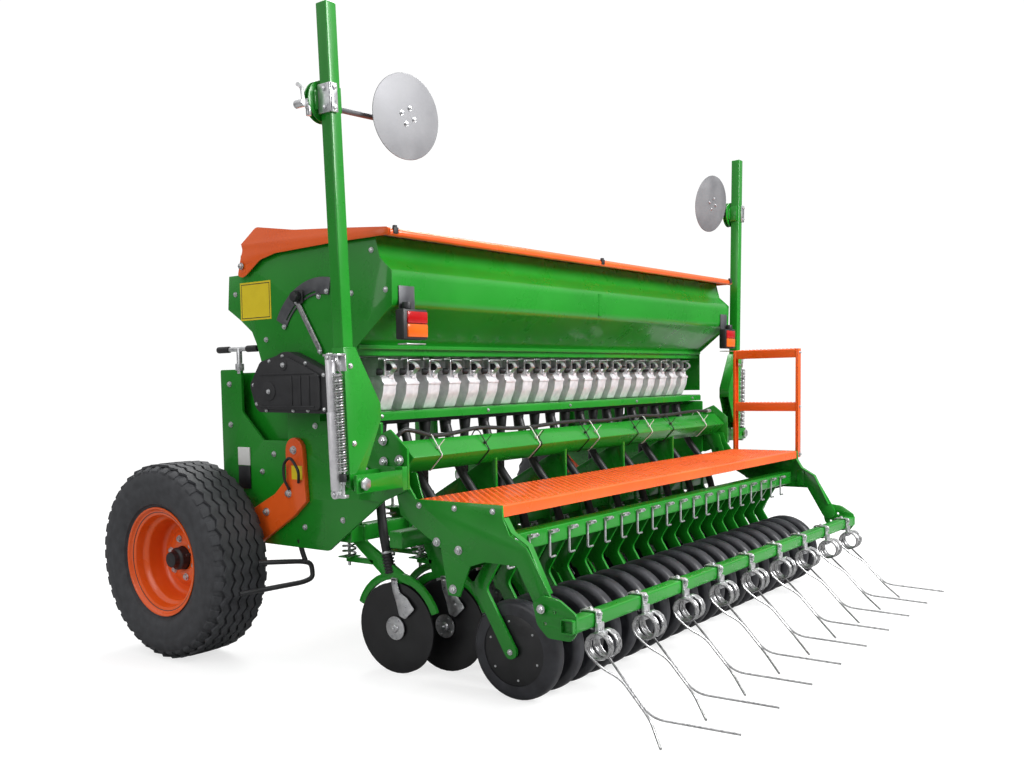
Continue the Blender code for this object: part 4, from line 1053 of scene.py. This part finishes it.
soft_pair("marker_bracket", 0.0015, "marker_clevis", GREEN)
face = -1.3235                           # outer face of the left marker's bracket
heads = bolts([(face, -0.407, 0.856), (face, -0.408, 0.782), (face, -0.32, 0.744), (face, -0.48, 0.79)],
    "-X", 1.7)
pin = [bar((-MAST_X, y, 0.73), (-MAST_X, y + 0.01, 0.73), 0.022, 6, edge=0.002) for y in (-0.525, -0.388)]
both(heads + pin, "marker_pin", "drill", ZINC)
print("beam:", counts["beam_paint"], "triangles; hose and ties:", counts["hose_line"])

# %% [markdown]
# ## Disc openers
#
# Each opener is a pair of thin steel discs that meet at the front and spread toward the rear, so
# they cut a V in the soil. A green arch between them carries the hub, a zinc blade scrapes the outer
# face and a coil spring on a guide rod presses the arm down. One opener of each rank is modelled,
# then copied to its rows.

# %% Model one opener
DISC_R = 0.166
BAR_Z, BAR_HALF = 0.5, 0.03              # height and half-width of each opener bar


def disc(x, lean):
    """One thin disc, a little dished, turned a few degrees about the upright."""
    face = [(0.0, 0.002), (0.06, 0.0035), (DISC_R - 0.012, 0.0), (DISC_R, -0.0005), (DISC_R, -0.002),
        (DISC_R - 0.012, -0.0025), (0.06, 0.0005), (0.0, -0.001)]
    made = turned(face, (0, 0, 0), "X", 40)
    if x > 0:
        made.data.transform(Matrix.Scale(-1, 4, (1, 0, 0)))
    made.data.transform(at(x, 0, 0) @ Matrix.Rotation(radians(lean), 4, "Z"))
    return made


def opener(disc_y, bar_y, spring_y):
    """Discs, arch, hub and spring of one row at x = 0, one piece for each finish."""
    move = at(0, disc_y, DISC_R)
    discs = joined([disc(-0.0105, 3.5), disc(0.0105, -3.5)])
    discs.data.transform(move)
    arch = cut(arc(disc_y, DISC_R, 0.203, 22, 158, 14) + arc(disc_y, DISC_R, 0.176, 158, 22, 14), 0.006,
        -0.007, 0.007, 0.0015, steps=2)
    low = DISC_R + 0.19
    arm = cut([(bar_y + 0.03, BAR_Z + 0.034), (bar_y + 0.034, BAR_Z - 0.034), (disc_y + 0.06, low - 0.01),
        (disc_y + 0.01, low - 0.012), (disc_y - 0.07, low - 0.03), (disc_y - 0.03, low + 0.012),
        (bar_y - 0.034, BAR_Z - 0.03), (bar_y - 0.034, BAR_Z + 0.034)], 0.012, -0.008, 0.008, 0.0015)
    stem = block((-0.006, 0.006), (disc_y - 0.018, disc_y + 0.018), (DISC_R, low), 0.002)
    seat = [block((-0.03, 0.03), (spring_y - 0.03, spring_y + 0.03), (z, z + 0.005), 0.001)
        for z in (0.402, 0.562)]
    reach = sorted((spring_y, bar_y))
    on_arm = bar_y + 0.034 + (disc_y + 0.026 - bar_y) * (BAR_Z - 0.034 - 0.395) / (BAR_Z - 0.024 - low)
    brace = block((-0.008, 0.008), (on_arm - 0.015, spring_y + 0.01), (0.385, 0.4045), 0.002)
    post = block((-0.008, 0.008), (reach[0] - 0.01, reach[1] + 0.01), (0.5285, 0.566), 0.002)
    green = joined([arch, arm, stem, *seat, brace, post])
    hubs = []
    for out in (-1, 1):
        centre = (out * 0.0135, disc_y, DISC_R)
        hubs.append(bar(centre, (out * 0.0195, disc_y, DISC_R), 0.043, 28, edge=0.001))
        hubs.append(bar(centre, (out * 0.0275, disc_y, DISC_R), 0.019, 24, 0.014, edge=0.002))
    hubs += bolts([(-0.0195, disc_y + cos(a) * 0.033, DISC_R + sin(a) * 0.033) for a in (0.5, 2.07, 3.64,
        5.21)], "-X", 0.4)
    hubs += bolts([(-0.0275, disc_y, DISC_R)], "-X", 0.8)
    blade = cut([(disc_y - 0.012, 0.348), (disc_y + 0.014, 0.346), (disc_y + 0.006, 0.3),
        (disc_y - 0.01, 0.262), (disc_y - 0.022, 0.215), (disc_y - 0.05, 0.206), (disc_y - 0.094, 0.246),
        (disc_y - 0.06, 0.284), (disc_y - 0.026, 0.3)], 0.006, -0.0205, -0.0175, 0.0006, steps=2)
    hubs += [blade, block((-0.0205, -0.004), (disc_y - 0.012, disc_y + 0.014), (0.34, 0.35), 0.001)]
    hubs += bolts([(-0.0205, disc_y, 0.334), (-0.0205, disc_y - 0.052, 0.252)], "-X", 0.55)
    hubs.append(bar((0, spring_y, 0.37), (0, spring_y, 0.605), 0.006, 12, edge=0.001))
    hubs += bolts([(0, spring_y, 0.567)], "+Z", 1.0)
    zinc = joined(hubs)
    spring = coil((0, spring_y, 0.409), (0, spring_y, 0.56), 0.0245, 0.0042, 8, 6, 12)
    return discs, green, zinc, spring


RANKS = (("front", 0, -0.335, -0.15, -0.096), ("rear", 1, -0.465, -0.395, -0.338))
for rank, first, disc_y, bar_y, spring_y in RANKS:
    rows = range(first, ROWS, 2)
    discs, green, zinc, spring = opener(disc_y, bar_y, spring_y)
    done(row_copies(discs, rows), "opener_discs_" + rank, "drill", BLACK_STEEL)
    high = (BAR_Z - BAR_HALF, BAR_Z + BAR_HALF)
    tube = block((-FRAME_X + 0.04, FRAME_X - 0.04), (bar_y - BAR_HALF, bar_y + BAR_HALF), high, 0.005, 3)
    done([row_copies(green, rows), tube], "opener_arms_" + rank, "drill", GREEN, "openers_" + rank)
    done(row_copies(zinc, rows), "opener_hubs_" + rank, "drill", ZINC)
    done(row_copies(spring, rows), "opener_springs_" + rank, "drill", SPRING)
print("openers: %d discs" % (2 * ROWS))

# %% [markdown]
# ## Press wheels
#
# Behind each opener a black rubber wheel firms the soil. Every wheel turns on its own pin, so each
# one is a separate object on its own body: a rounded rubber crown, a flat side disc and six rivets.

# %% Model one press wheel and its arm
R, HALF = PRESS.z, 0.031
SHOULDER, FLAT = 0.022, 0.009            # radius of the crown's shoulders, half-width of its top
low_curve = arc(R - SHOULDER, -FLAT, SHOULDER, -90, 0, 6)
high_curve = arc(R - SHOULDER, FLAT, SHOULDER, 0, 90, 6)
crown = [(0.118, -HALF), (R - 0.034, -HALF), *low_curve, *high_curve, (R - 0.034, HALF), (0.118, HALF)]
ring = turned(crown, (0, 0, 0), "X", 48)
FACE = 0.0295                            # the flat disc's faces, from the wheel's middle
web_line = [(0.0165, -FACE), (0.119, -FACE), (0.124, -0.0265), (0.124, 0.0265), (0.119, FACE),
    (0.0165, FACE)]
web = turned(web_line, (0, 0, 0), "X", 40)
spots = arc(0, 0, 0.098, 20, 320, 5)
rivets = joined([bar((x, y, z), (x + out, y, z), 0.0042, 10, 0.0032) for x, out in ((-FACE, -0.0018),
    (FACE, 0.0018)) for y, z in spots])
for i in range(ROWS):
    number = "%02d" % (i + 1)
    move = at(ROW_X[i], PRESS.y, R)
    done(copied(ring, move), "press_tyre_" + number, "press_" + number, WHEEL_RUBBER,
        "press_wheel_" + number)
    done(copied(web, move), "press_disc_" + number, "press_" + number, BLACK_STEEL)
    done(copied(rivets, move), "press_rivets_" + number, "press_" + number, ZINC)
for pattern in (ring, web, rivets):
    dropped(pattern)

arm_x = -HALF - 0.012
knee = [(-0.811, 0.515), (-0.723, 0.388), (-0.726, 0.352), *arc(PRESS.y, R, 0.024, -30, -210, 8),
    (-0.77, 0.366), (-0.857, 0.51)]
arm = cut(knee, 0.014, arm_x - 0.006, arm_x + 0.006, 0.0015)
guard = cut([(-0.742, 0.395), (-0.7, 0.378), (-0.716, 0.338), (-0.752, 0.33)], 0.006, arm_x - 0.002,
    arm_x + 0.03, 0.001, steps=2)
pin = bar((arm_x, PRESS.y, R), (HALF + 0.004, PRESS.y, R), 0.014, 16, edge=0.001)
beam = block((-1.296, 1.296), (-0.865, -0.805), (0.49, 0.55), 0.005, 3)
done([row_copies(joined([arm, guard, pin])), beam], "press_arms", "drill", GREEN, "press_frame")
near, far, top = arm_x + 0.016, arm_x - 0.018, 0.536
clip = [bent([(near, -0.871, top), (far, -0.871, top), (far, -0.871, 0.446), (near, -0.871, 0.446)],
    0.006, 0.0042, 8), block((arm_x - 0.022, arm_x + 0.02), (-0.88, -0.876), (0.528, 0.542), 0.001)]
clip += [bar((x, -0.85, top), (x, -0.886, top), 0.0042, 10) for x in (far, near)]
clip += bolts([(arm_x - 0.007, PRESS.y, R)], "-X", 0.9) + bolts([(near, -0.88, top)], "-Y", 0.6)
clip[0].data.transform(at(0, 0.001, 0))
done(row_copies(joined(clip)), "press_clips", "drill", ZINC)
print("press wheels: %d, arms %d triangles" % (ROWS, counts["press_arms"]))

# %% [markdown]
# ## Platform, brackets and ladder
#
# The orange board is one folded sheet with a lip front and rear. Rows of small pressed studs give
# the boot a grip: one stud is copied by two array modifiers, and a second set fills the gaps. The
# ladder is folded up beside the board and has its own hinge, so it rides on its own body.

# %% Fold the board and stamp its studs
board = run([(-0.537, 0.62), (-0.537, 0.656), (-0.888, 0.656), (-0.888, 0.62)], 0.004, 1.2962, r=0.007)


def studs(x, y, z, across, count_x, count_y, r=0.0075):
    """A field of low round studs starting at a corner."""
    stud = bar((x, y, z), (x, y, z + 0.0028), r, 8, r * 0.6)
    for count, offset in ((count_x, (across, 0, 0)), (count_y, (0, -across, 0))):
        field = stud.modifiers.new("field", "ARRAY")
        field.count = count
        field.use_relative_offset = False
        field.use_constant_offset = True
        field.constant_offset_displace = offset
        applied(stud, field)
    return stud


corners = ((-1.275, -0.556, 76, 10), (-1.258, -0.573, 75, 9))
fields = [studs(x, y, 0.6575, 0.034, *count, 0.0062) for x, y, *count in corners]
done([board, *fields], "platform_board", "drill", ORANGE, "platform")
under = [block((x - 0.02, x + 0.02), (-0.88, -0.545), (0.628, 0.6545), 0.002) for x in (-0.65, 0.0, 0.65)]
done(under, "board_stays", "drill", GREEN)

soft_pair("platform_bracket", 0.0015, "bracket_plate", GREEN)
face = -1.3085                           # outer face of the left platform bracket
places = [(-0.55, 0.638), (-0.701, 0.638), (-0.857, 0.638), (-0.44, 0.712)]
large = [(-0.624, 0.52), (-0.716, 0.5), (-0.69, 0.368)]
heads = bolts([(face, y, z) for y, z in places], "-X")
heads += bolts([(face, y, z) for y, z in large], "-X", 1.45)
heads += bolts([(-1.334, -1.052, 0.352)], "-X", 1.35)
both(heads, "bracket_bolts", "drill", ZINC)
neck = cut([(-0.398, 0.742), (-0.44, 0.68), (-0.465, 0.6), (-0.56, 0.56), (-0.58, 0.62), (-0.533, 0.6185),
    (-0.506, 0.69), (-0.492, 0.742)], 0.008, -1.252, -1.246, 0.001, steps=2)
rung = bar((-1.301, -0.48, 0.66), (-1.246, -0.48, 0.66), 0.01, 16)
tab = block((-1.302, -1.2935), (-0.93, -0.892), (0.48, 0.56), 0.002)
flange = plate([(-0.892, 0.617), (-0.92, 0.57), (-0.984, 0.534), (-1.056, 0.391), (-1.06, 0.393),
    (-0.987, 0.537), (-0.923, 0.574), (-0.896, 0.618)], "X", -1.302, -1.276, 0.0008)
both([neck, rung, tab, flange], "bracket_inner", "drill", GREEN)

LADDER_X = drawn_centre("ladder").x
TOP, MIDDLE, FRONT, REAR = 1.185, 0.905, -0.535, -0.885
parts = []
for y, way in ((FRONT, -1), (REAR, 1)):
    web, flange = sorted((y, y + way * 0.004)), sorted((y, y + way * 0.014))
    parts.append(block((LADDER_X - 0.02, LADDER_X + 0.02), web, (0.621, TOP), 0.0012))
    for x in (LADDER_X - 0.02, LADDER_X + 0.0165):
        parts.append(block((x, x + 0.0035), flange, (0.621, TOP), 0.001))
for z in (TOP - 0.002, MIDDLE):
    step = run([(-0.0175, z - 0.044), (-0.0175, z), (0.0175, z), (0.0175, z - 0.044)], 0.003, 0.171,
        r=0.005)
    step.data.transform(at(LADDER_X, (FRONT + REAR) / 2, 0) @ Matrix.Rotation(radians(90), 4, "Z"))
    parts.append(step)
    parts += [studs(LADDER_X + x, FRONT - 0.026, z + 0.0008, 0.02, 1, 16, 0.005) for x in (-0.009, 0.009)]
parts.append(bar((LADDER_X, REAR + 0.002, 0.638), (LADDER_X, FRONT - 0.002, 0.638), 0.0078, 16))
done(parts, "ladder_frame", "step_ladder", ORANGE, "ladder")
ends = bolts([(LADDER_X, REAR - 0.0005, 0.638)], "-Y", 1.1)
ends += bolts([(LADDER_X, FRONT + 0.0005, 0.638)], "+Y", 1.1)
ends += bolts([(LADDER_X, REAR - 0.0005, z - 0.02) for z in (TOP, MIDDLE)], "-Y", 0.8)
done(ends, "ladder_bolts", "step_ladder", ZINC)
print("board: %d triangles, ladder: %d" % (counts["platform_board"], counts["ladder_frame"]))

# %% [markdown]
# ## Tine harrow
#
# A square tube carries nine double tines. Each tine starts under a zinc clamp, winds three and a
# half turns as a coil, passes below it, and meets its twin. The two wires run down together and part
# near the ground: one tip short and straight, the other long and swept. The whole harrow tilts.

# %% Wind one double tine
HARROW_Y, HARROW_Z = -1.148, 0.31
HALF_TUBE = 0.0205
corners = [(HARROW_Y + y * HALF_TUBE, HARROW_Z + z * HALF_TUBE) for y, z in ((-1, -1), (-1, 1), (1, 1),
    (1, -1))]
tube = run(corners, 0.004, 1.342, r=0.005, closed=True)
cheeks = []
for x in (-1.324, 1.314):
    cheek = filleted([(-1.015, 0.367), (-1.03, 0.3), (-1.07, 0.262), (-1.152, 0.262), (-1.172, 0.29),
        (-1.172, 0.345), (-1.11, 0.385), (-1.05, 0.392)], 0.01, 3, True)
    holes = [arc(-1.052, 0.352, 0.0128, 360, 15, 23), arc(-1.095, 0.345, 0.006, 360, 24, 14),
        arc(-1.06, 0.305, 0.006, 360, 24, 14)]
    cheeks.append(plate(cheek, "X", x, x + 0.01, 0.0015, holes))
done([tube, *cheeks], "harrow_bar", "tine_harrow", GREEN, "harrow")

COIL_Y, COIL_Z, COIL_R, WIRE_R = HARROW_Y - 0.045, HARROW_Z - 0.075, 0.041, 0.004
LEAVE = -47.0 - 3 * 360.0                # where the wire leaves its coil, in degrees


def tine_wire(side, tip):
    """One wire: clamp, coil, the sweep under the coil, the shared stem and its own tip."""
    points = [(side * 0.007, HARROW_Y - 0.028, HARROW_Z - 0.006), (side * 0.008, HARROW_Y - 0.036,
        HARROW_Z - 0.03)]
    steps = 46
    for k in range(steps + 1):
        a = radians(90 + (LEAVE - 90) * k / steps)
        points.append((side * (0.008 + 0.033 * k / steps), COIL_Y + COIL_R * cos(a),
            COIL_Z + COIL_R * sin(a)))
    tail = [points[-1], (side * 0.034, -1.205, 0.17), (side * 0.006, -1.256, 0.138),
        (side * 0.005 - 0.008, -1.356, 0.034), tip]
    return points[:-1] + filleted(tail, 0.04, 5)


def tine():
    short = wire(tine_wire(-1, (-0.15, -1.46, 0.008)), WIRE_R, 8)
    swept = wire(tine_wire(1, (0.09, -1.5965, 0.008)), WIRE_R, 8)
    return joined([short, swept])


def clamp():
    """A folded strap round the tube with a bolt through its ears."""
    half = HALF_TUBE + 0.007
    y0, y1, z0, z1 = HARROW_Y - half, HARROW_Y + half, HARROW_Z - half, HARROW_Z + half
    strap = run([(y0, z0 - 0.016), (y0, z1), (y1, z1), (y1, z0), (y0 + 0.01, z0)], 0.0038, 0.015, -0.015,
        r=0.006)
    foot = block((-0.019, 0.019), (y0 - 0.01, y0 + 0.002), (z0 - 0.03, z0 + 0.02), 0.002)
    loop = bar((-0.012, HARROW_Y - 0.045, HARROW_Z - 0.04), (0.012, HARROW_Y - 0.045, HARROW_Z - 0.04),
        0.009, 12, edge=0.001)
    ears = bar((0, y0 - 0.01, HARROW_Z + 0.008), (0, y1 + 0.012, HARROW_Z + 0.008), 0.0062, 12)
    heads = bolts([(0, y0 - 0.01, HARROW_Z - 0.044), (0, y0 - 0.004, HARROW_Z + 0.02)], "-Y", 0.9)
    top = bolts([(0.0, HARROW_Y, z1 + 0.002)], "+Z", 0.9)
    return joined([strap, foot, loop, ears, *heads, *top])


TINE_X = [(k - 4) * 0.3 for k in range(9)]


def along_harrow(pattern):
    made = joined([copied(pattern, at(x, 0, 0)) for x in TINE_X])
    dropped(pattern)
    return made


done(along_harrow(tine()), "harrow_tines", "tine_harrow", SPRING)
done(along_harrow(clamp()), "harrow_clamps", "tine_harrow", ZINC)
print("harrow: 9 double tines, %d triangles" % counts["harrow_tines"])

# %% [markdown]
# ## Row markers
#
# Each marker is a square mast on a folded foot with a slanting gusset. A clamp near its top has a
# round plate and a small crank, and a bent rod leads from it to the disc. A lift cylinder and a
# long return spring stand side by side in front of the foot.

# %% Build the masts
def hub_way(heading, tilt):
    flat = cos(radians(tilt))
    return Vector((cos(radians(heading)) * flat, sin(radians(heading)) * flat, sin(radians(tilt))))


FOOT_Z, PIVOT_Z = 1.17, 0.73
GUSSET = FRAME_X + 0.1
CLAMP_Z = MAST_TOP - 0.295
TUBE, SKIN = 0.023, 0.027            # half-widths of the mast and of its foot
LEAN = at(-MAST_X, 0, PIVOT_Z) @ Matrix.Rotation(radians(-2.0), 4, "Y") @ at(MAST_X, 0, -PIVOT_Z)


def leaned(pieces):
    """Joined, and turned outward a little about the left mast's pin."""
    piece = joined(pieces)
    piece.data.transform(LEAN)
    return piece


foot_line = [(-MAST_X - SKIN, FOOT_Z), *arc(-MAST_X, PIVOT_Z, SKIN, 180, 360, 12), (-GUSSET, 0.93),
    (-GUSSET, 0.98), (-MAST_X + SKIN, FOOT_Z)]
pieces = [block((-MAST_X - TUBE, -MAST_X + TUBE), (MAST_Y - TUBE, MAST_Y + TUBE), (0.79, MAST_TOP), 0.004,
    3)]
for low in (MAST_Y - SKIN, MAST_Y + SKIN - 0.0045):
    pieces.append(plate(foot_line, "Y", low, low + 0.0045, 0.001,
        [arc(-MAST_X, PIVOT_Z, 0.0158, 360, 15, 23)]))
slant = [(-MAST_X + SKIN, FOOT_Z), (-GUSSET, 0.98), (-GUSSET, 0.93), (-GUSSET - 0.006, 0.93),
    (-GUSSET - 0.006, 0.979), (-MAST_X + SKIN - 0.005, FOOT_Z - 0.001)]
pieces.append(plate(slant, "Y", MAST_Y - SKIN + 0.001, MAST_Y + SKIN - 0.001, 0.001))
pieces.append(block((-MAST_X - SKIN, -MAST_X - TUBE + 0.0005),
    (MAST_Y - SKIN + 0.001, MAST_Y + SKIN - 0.001), (0.76, FOOT_Z), 0.001))
pieces.append(block((-MAST_X - SKIN + 0.001, -MAST_X + SKIN + 0.001), (MAST_Y - SKIN - 0.0005,
    MAST_Y + SKIN + 0.0005), (FOOT_Z - 0.006, FOOT_Z), 0.002))
for low in (MAST_Y + 0.0305, MAST_Y + 0.0485):
    pieces.append(plate(arc(-MAST_X, CLAMP_Z, 0.066, 8, 360, 30), "Y", low, low + 0.004, 0.001))
pieces.append(block((-MAST_X - 0.044, -MAST_X + 0.044), (MAST_Y + 0.022, MAST_Y + 0.055),
    (CLAMP_Z - 0.03, CLAMP_Z + 0.03), 0.003))
pieces.append(block((-MAST_X + TUBE, -MAST_X + 0.034), (MAST_Y - 0.016, MAST_Y + 0.034),
    (CLAMP_Z - 0.04, CLAMP_Z + 0.04), 0.003))
both(leaned(pieces), "mast", "marker", GREEN, "marker_mast")

out = -MAST_X - TUBE
low, high = CLAMP_Z - 0.044, CLAMP_Z + 0.046
y, z = MAST_Y + 0.04, CLAMP_Z - 0.018    # the clamp's crank
bright = [block((out - 0.0095, out - 0.0005), (MAST_Y - 0.032, MAST_Y + 0.024), (low, high), 0.002),
    block((out - 0.0095, out + 0.024), (MAST_Y - 0.032, MAST_Y - 0.0235), (low, high), 0.002),
    bar((out - 0.008, y, z + 0.01), (out - 0.072, y, z), 0.0085, 12, edge=0.001),
    bar((out - 0.07, y - 0.02, z), (out - 0.07, y + 0.02, z), 0.013, 12, edge=0.002),
    bent([(out - 0.056, y, z + 0.008), (out - 0.06, y, z + 0.052), (out - 0.08, y, z + 0.058)], 0.01,
    0.006, 8), bar((out - 0.036, y, z - 0.032), (out - 0.036, y, z + 0.02), 0.009, 12, edge=0.001)]
bright += bolts([(out + 0.009, MAST_Y - 0.032, z) for z in (CLAMP_Z - 0.03, CLAMP_Z + 0.032)], "-Y", 0.9)
bright += bolts([(out - 0.0095, MAST_Y - 0.006, z) for z in (CLAMP_Z - 0.028, CLAMP_Z + 0.03)], "-X", 0.9)
bright += bolts([(-MAST_X, MAST_Y - SKIN, z) for z in (0.86, 1.11)], "-Y", 0.9)
both(leaned(bright), "mast_clamp", "marker", ZINC)

DISH = [(0, 0.0), (0.04, 0.0), (0.1, 0.0025), (0.1435, 0.0085), (0.145, 0.01), (0.143, 0.0115),
    (0.1, 0.006), (0.04, 0.004), (0.035, 0.0045), (0.035, 0.038), (0.033, 0.04), (0.012, 0.04),
    (0.012, 0.009), (0, 0.009)]
for name, side, heading, tilt in (("left", -1, 80.0, 1.0), ("right", 1, 82.0, 8.0)):
    way = hub_way(heading, tilt)
    centre = Vector(((MAST_X - 0.31) * side, -0.467, MAST_TOP - 0.283))
    elbow = centre + way * 0.085
    start = LEAN @ Vector((0.02 - MAST_X, MAST_Y + 0.055, CLAMP_Z - 0.005))
    start.x *= -side
    rod = bent([tuple(start), tuple(elbow + way * 0.01), tuple(centre + way * 0.012)], 0.022, 0.0098, 12,
        steps=4)
    socket = bar(start, start + (elbow - start).normalized() * 0.05, 0.015, 16, edge=0.002)
    done([rod, socket], "disc_rod_" + name, "marker_" + name, GREY_STEEL)
    turn = at(*centre) @ Vector((1, 0, 0)).rotation_difference(way).to_matrix().to_4x4()
    plough = "marker_plough_" + name
    dish = turned(DISH, (0, 0, 0), "X", 72)
    dish.data.transform(turn)
    done(dish, "disc_face_" + name, plough, DISC_STEEL, "marker_disc_" + name)
    nuts = joined(bolts([(-0.0003, 0.028 * cos(a), 0.028 * sin(a)) for a in (0.3, 1.87, 3.44, 5.01)],
        "-X", 0.8))
    nuts.data.transform(turn)
    done(nuts, "disc_nuts_" + name, plough, ZINC)

# %% Stand the cylinders and springs
x = -MAST_X - TUBE - 0.029
near, far = MAST_Y + 0.012, MAST_Y - 0.024
cylinder = [bar((x, near, 0.712), (x, near, 0.965), 0.0185, 28, edge=0.002),
    bar((x, near, 0.96), (x, near, 1.132), 0.0155, 28, edge=0.001), bar((x - 0.012, near, 0.7),
    (x + 0.012, near, 0.7), 0.016, 20, edge=0.002), bar((x - 0.01, near, 1.14), (x + 0.01, near, 1.14),
    0.014, 20, edge=0.002)]
both(leaned(cylinder), "lift_cylinder", "marker", CAST, "marker_strut")
low, high = 0.775, 1.09
spring = [coil((x - 0.004, far, low), (x - 0.004, far, high), 0.0135, 0.0027, 36, 6, 12)]
for z, up in ((high, 1), (low, -1)):
    hook = [(x + 0.0095, far, z), (x - 0.002, far, z + up * 0.01), (x - 0.004, far, z + up * 0.026),
        (x + 0.006, far, z + up * 0.038), (x - 0.004, far, z + up * 0.048),
        (x - 0.012, far, z + up * 0.04)]
    spring.append(bent(hook, 0.007, 0.0027, 6))
both(leaned(spring), "return_spring", "marker", SPRING)
holders = [block((x - 0.012, -MAST_X - SKIN + 0.001), (far - 0.012, near + 0.02), (1.144, 1.151), 0.002),
    block((-MAST_X - SKIN - 0.003, -MAST_X - SKIN + 0.001), (far - 0.012, near + 0.016), (1.095, 1.15),
    0.001), bar((x - 0.004, far, 1.12), (x - 0.004, far, 1.148), 0.005, 12), block((x - 0.01, x + 0.01),
    (far - 0.01, near + 0.014), (0.688, 0.7), 0.002), bar((x - 0.004, far, 0.696),
    (x - 0.004, far, 0.742), 0.005, 12)]
holders += bolts([(x - 0.012, near, 0.7), (x - 0.01, near, 1.14)], "-X", 0.9)
both(leaned(holders), "strut_fittings", "marker", ZINC)
boots = [bar((x - 0.004, far, 0.742), (x - 0.004, far, 0.768), 0.012, 14, edge=0.002)]
both(leaned(boots), "spring_buffer", "marker", PLASTIC)
print("markers: 2 masts, springs of %d triangles" % counts["return_spring_left"])

# %% [markdown]
# ## Last counts
#
# The bolt pattern is dropped, and the triangle counts of the eight largest pieces and of the whole
# model are printed. In width, the small crank on each mast's clamp reaches 63 mm past the imported
# model.

# %% Drop the bolt pattern and print the triangle counts
dropped(BOLT)
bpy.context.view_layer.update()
for name in sorted(counts, key=counts.get)[-8:]:
    print("%-28s %7d triangles" % (name, counts[name]))
print("all pieces:", len(counts), "triangles:", sum(counts.values()))
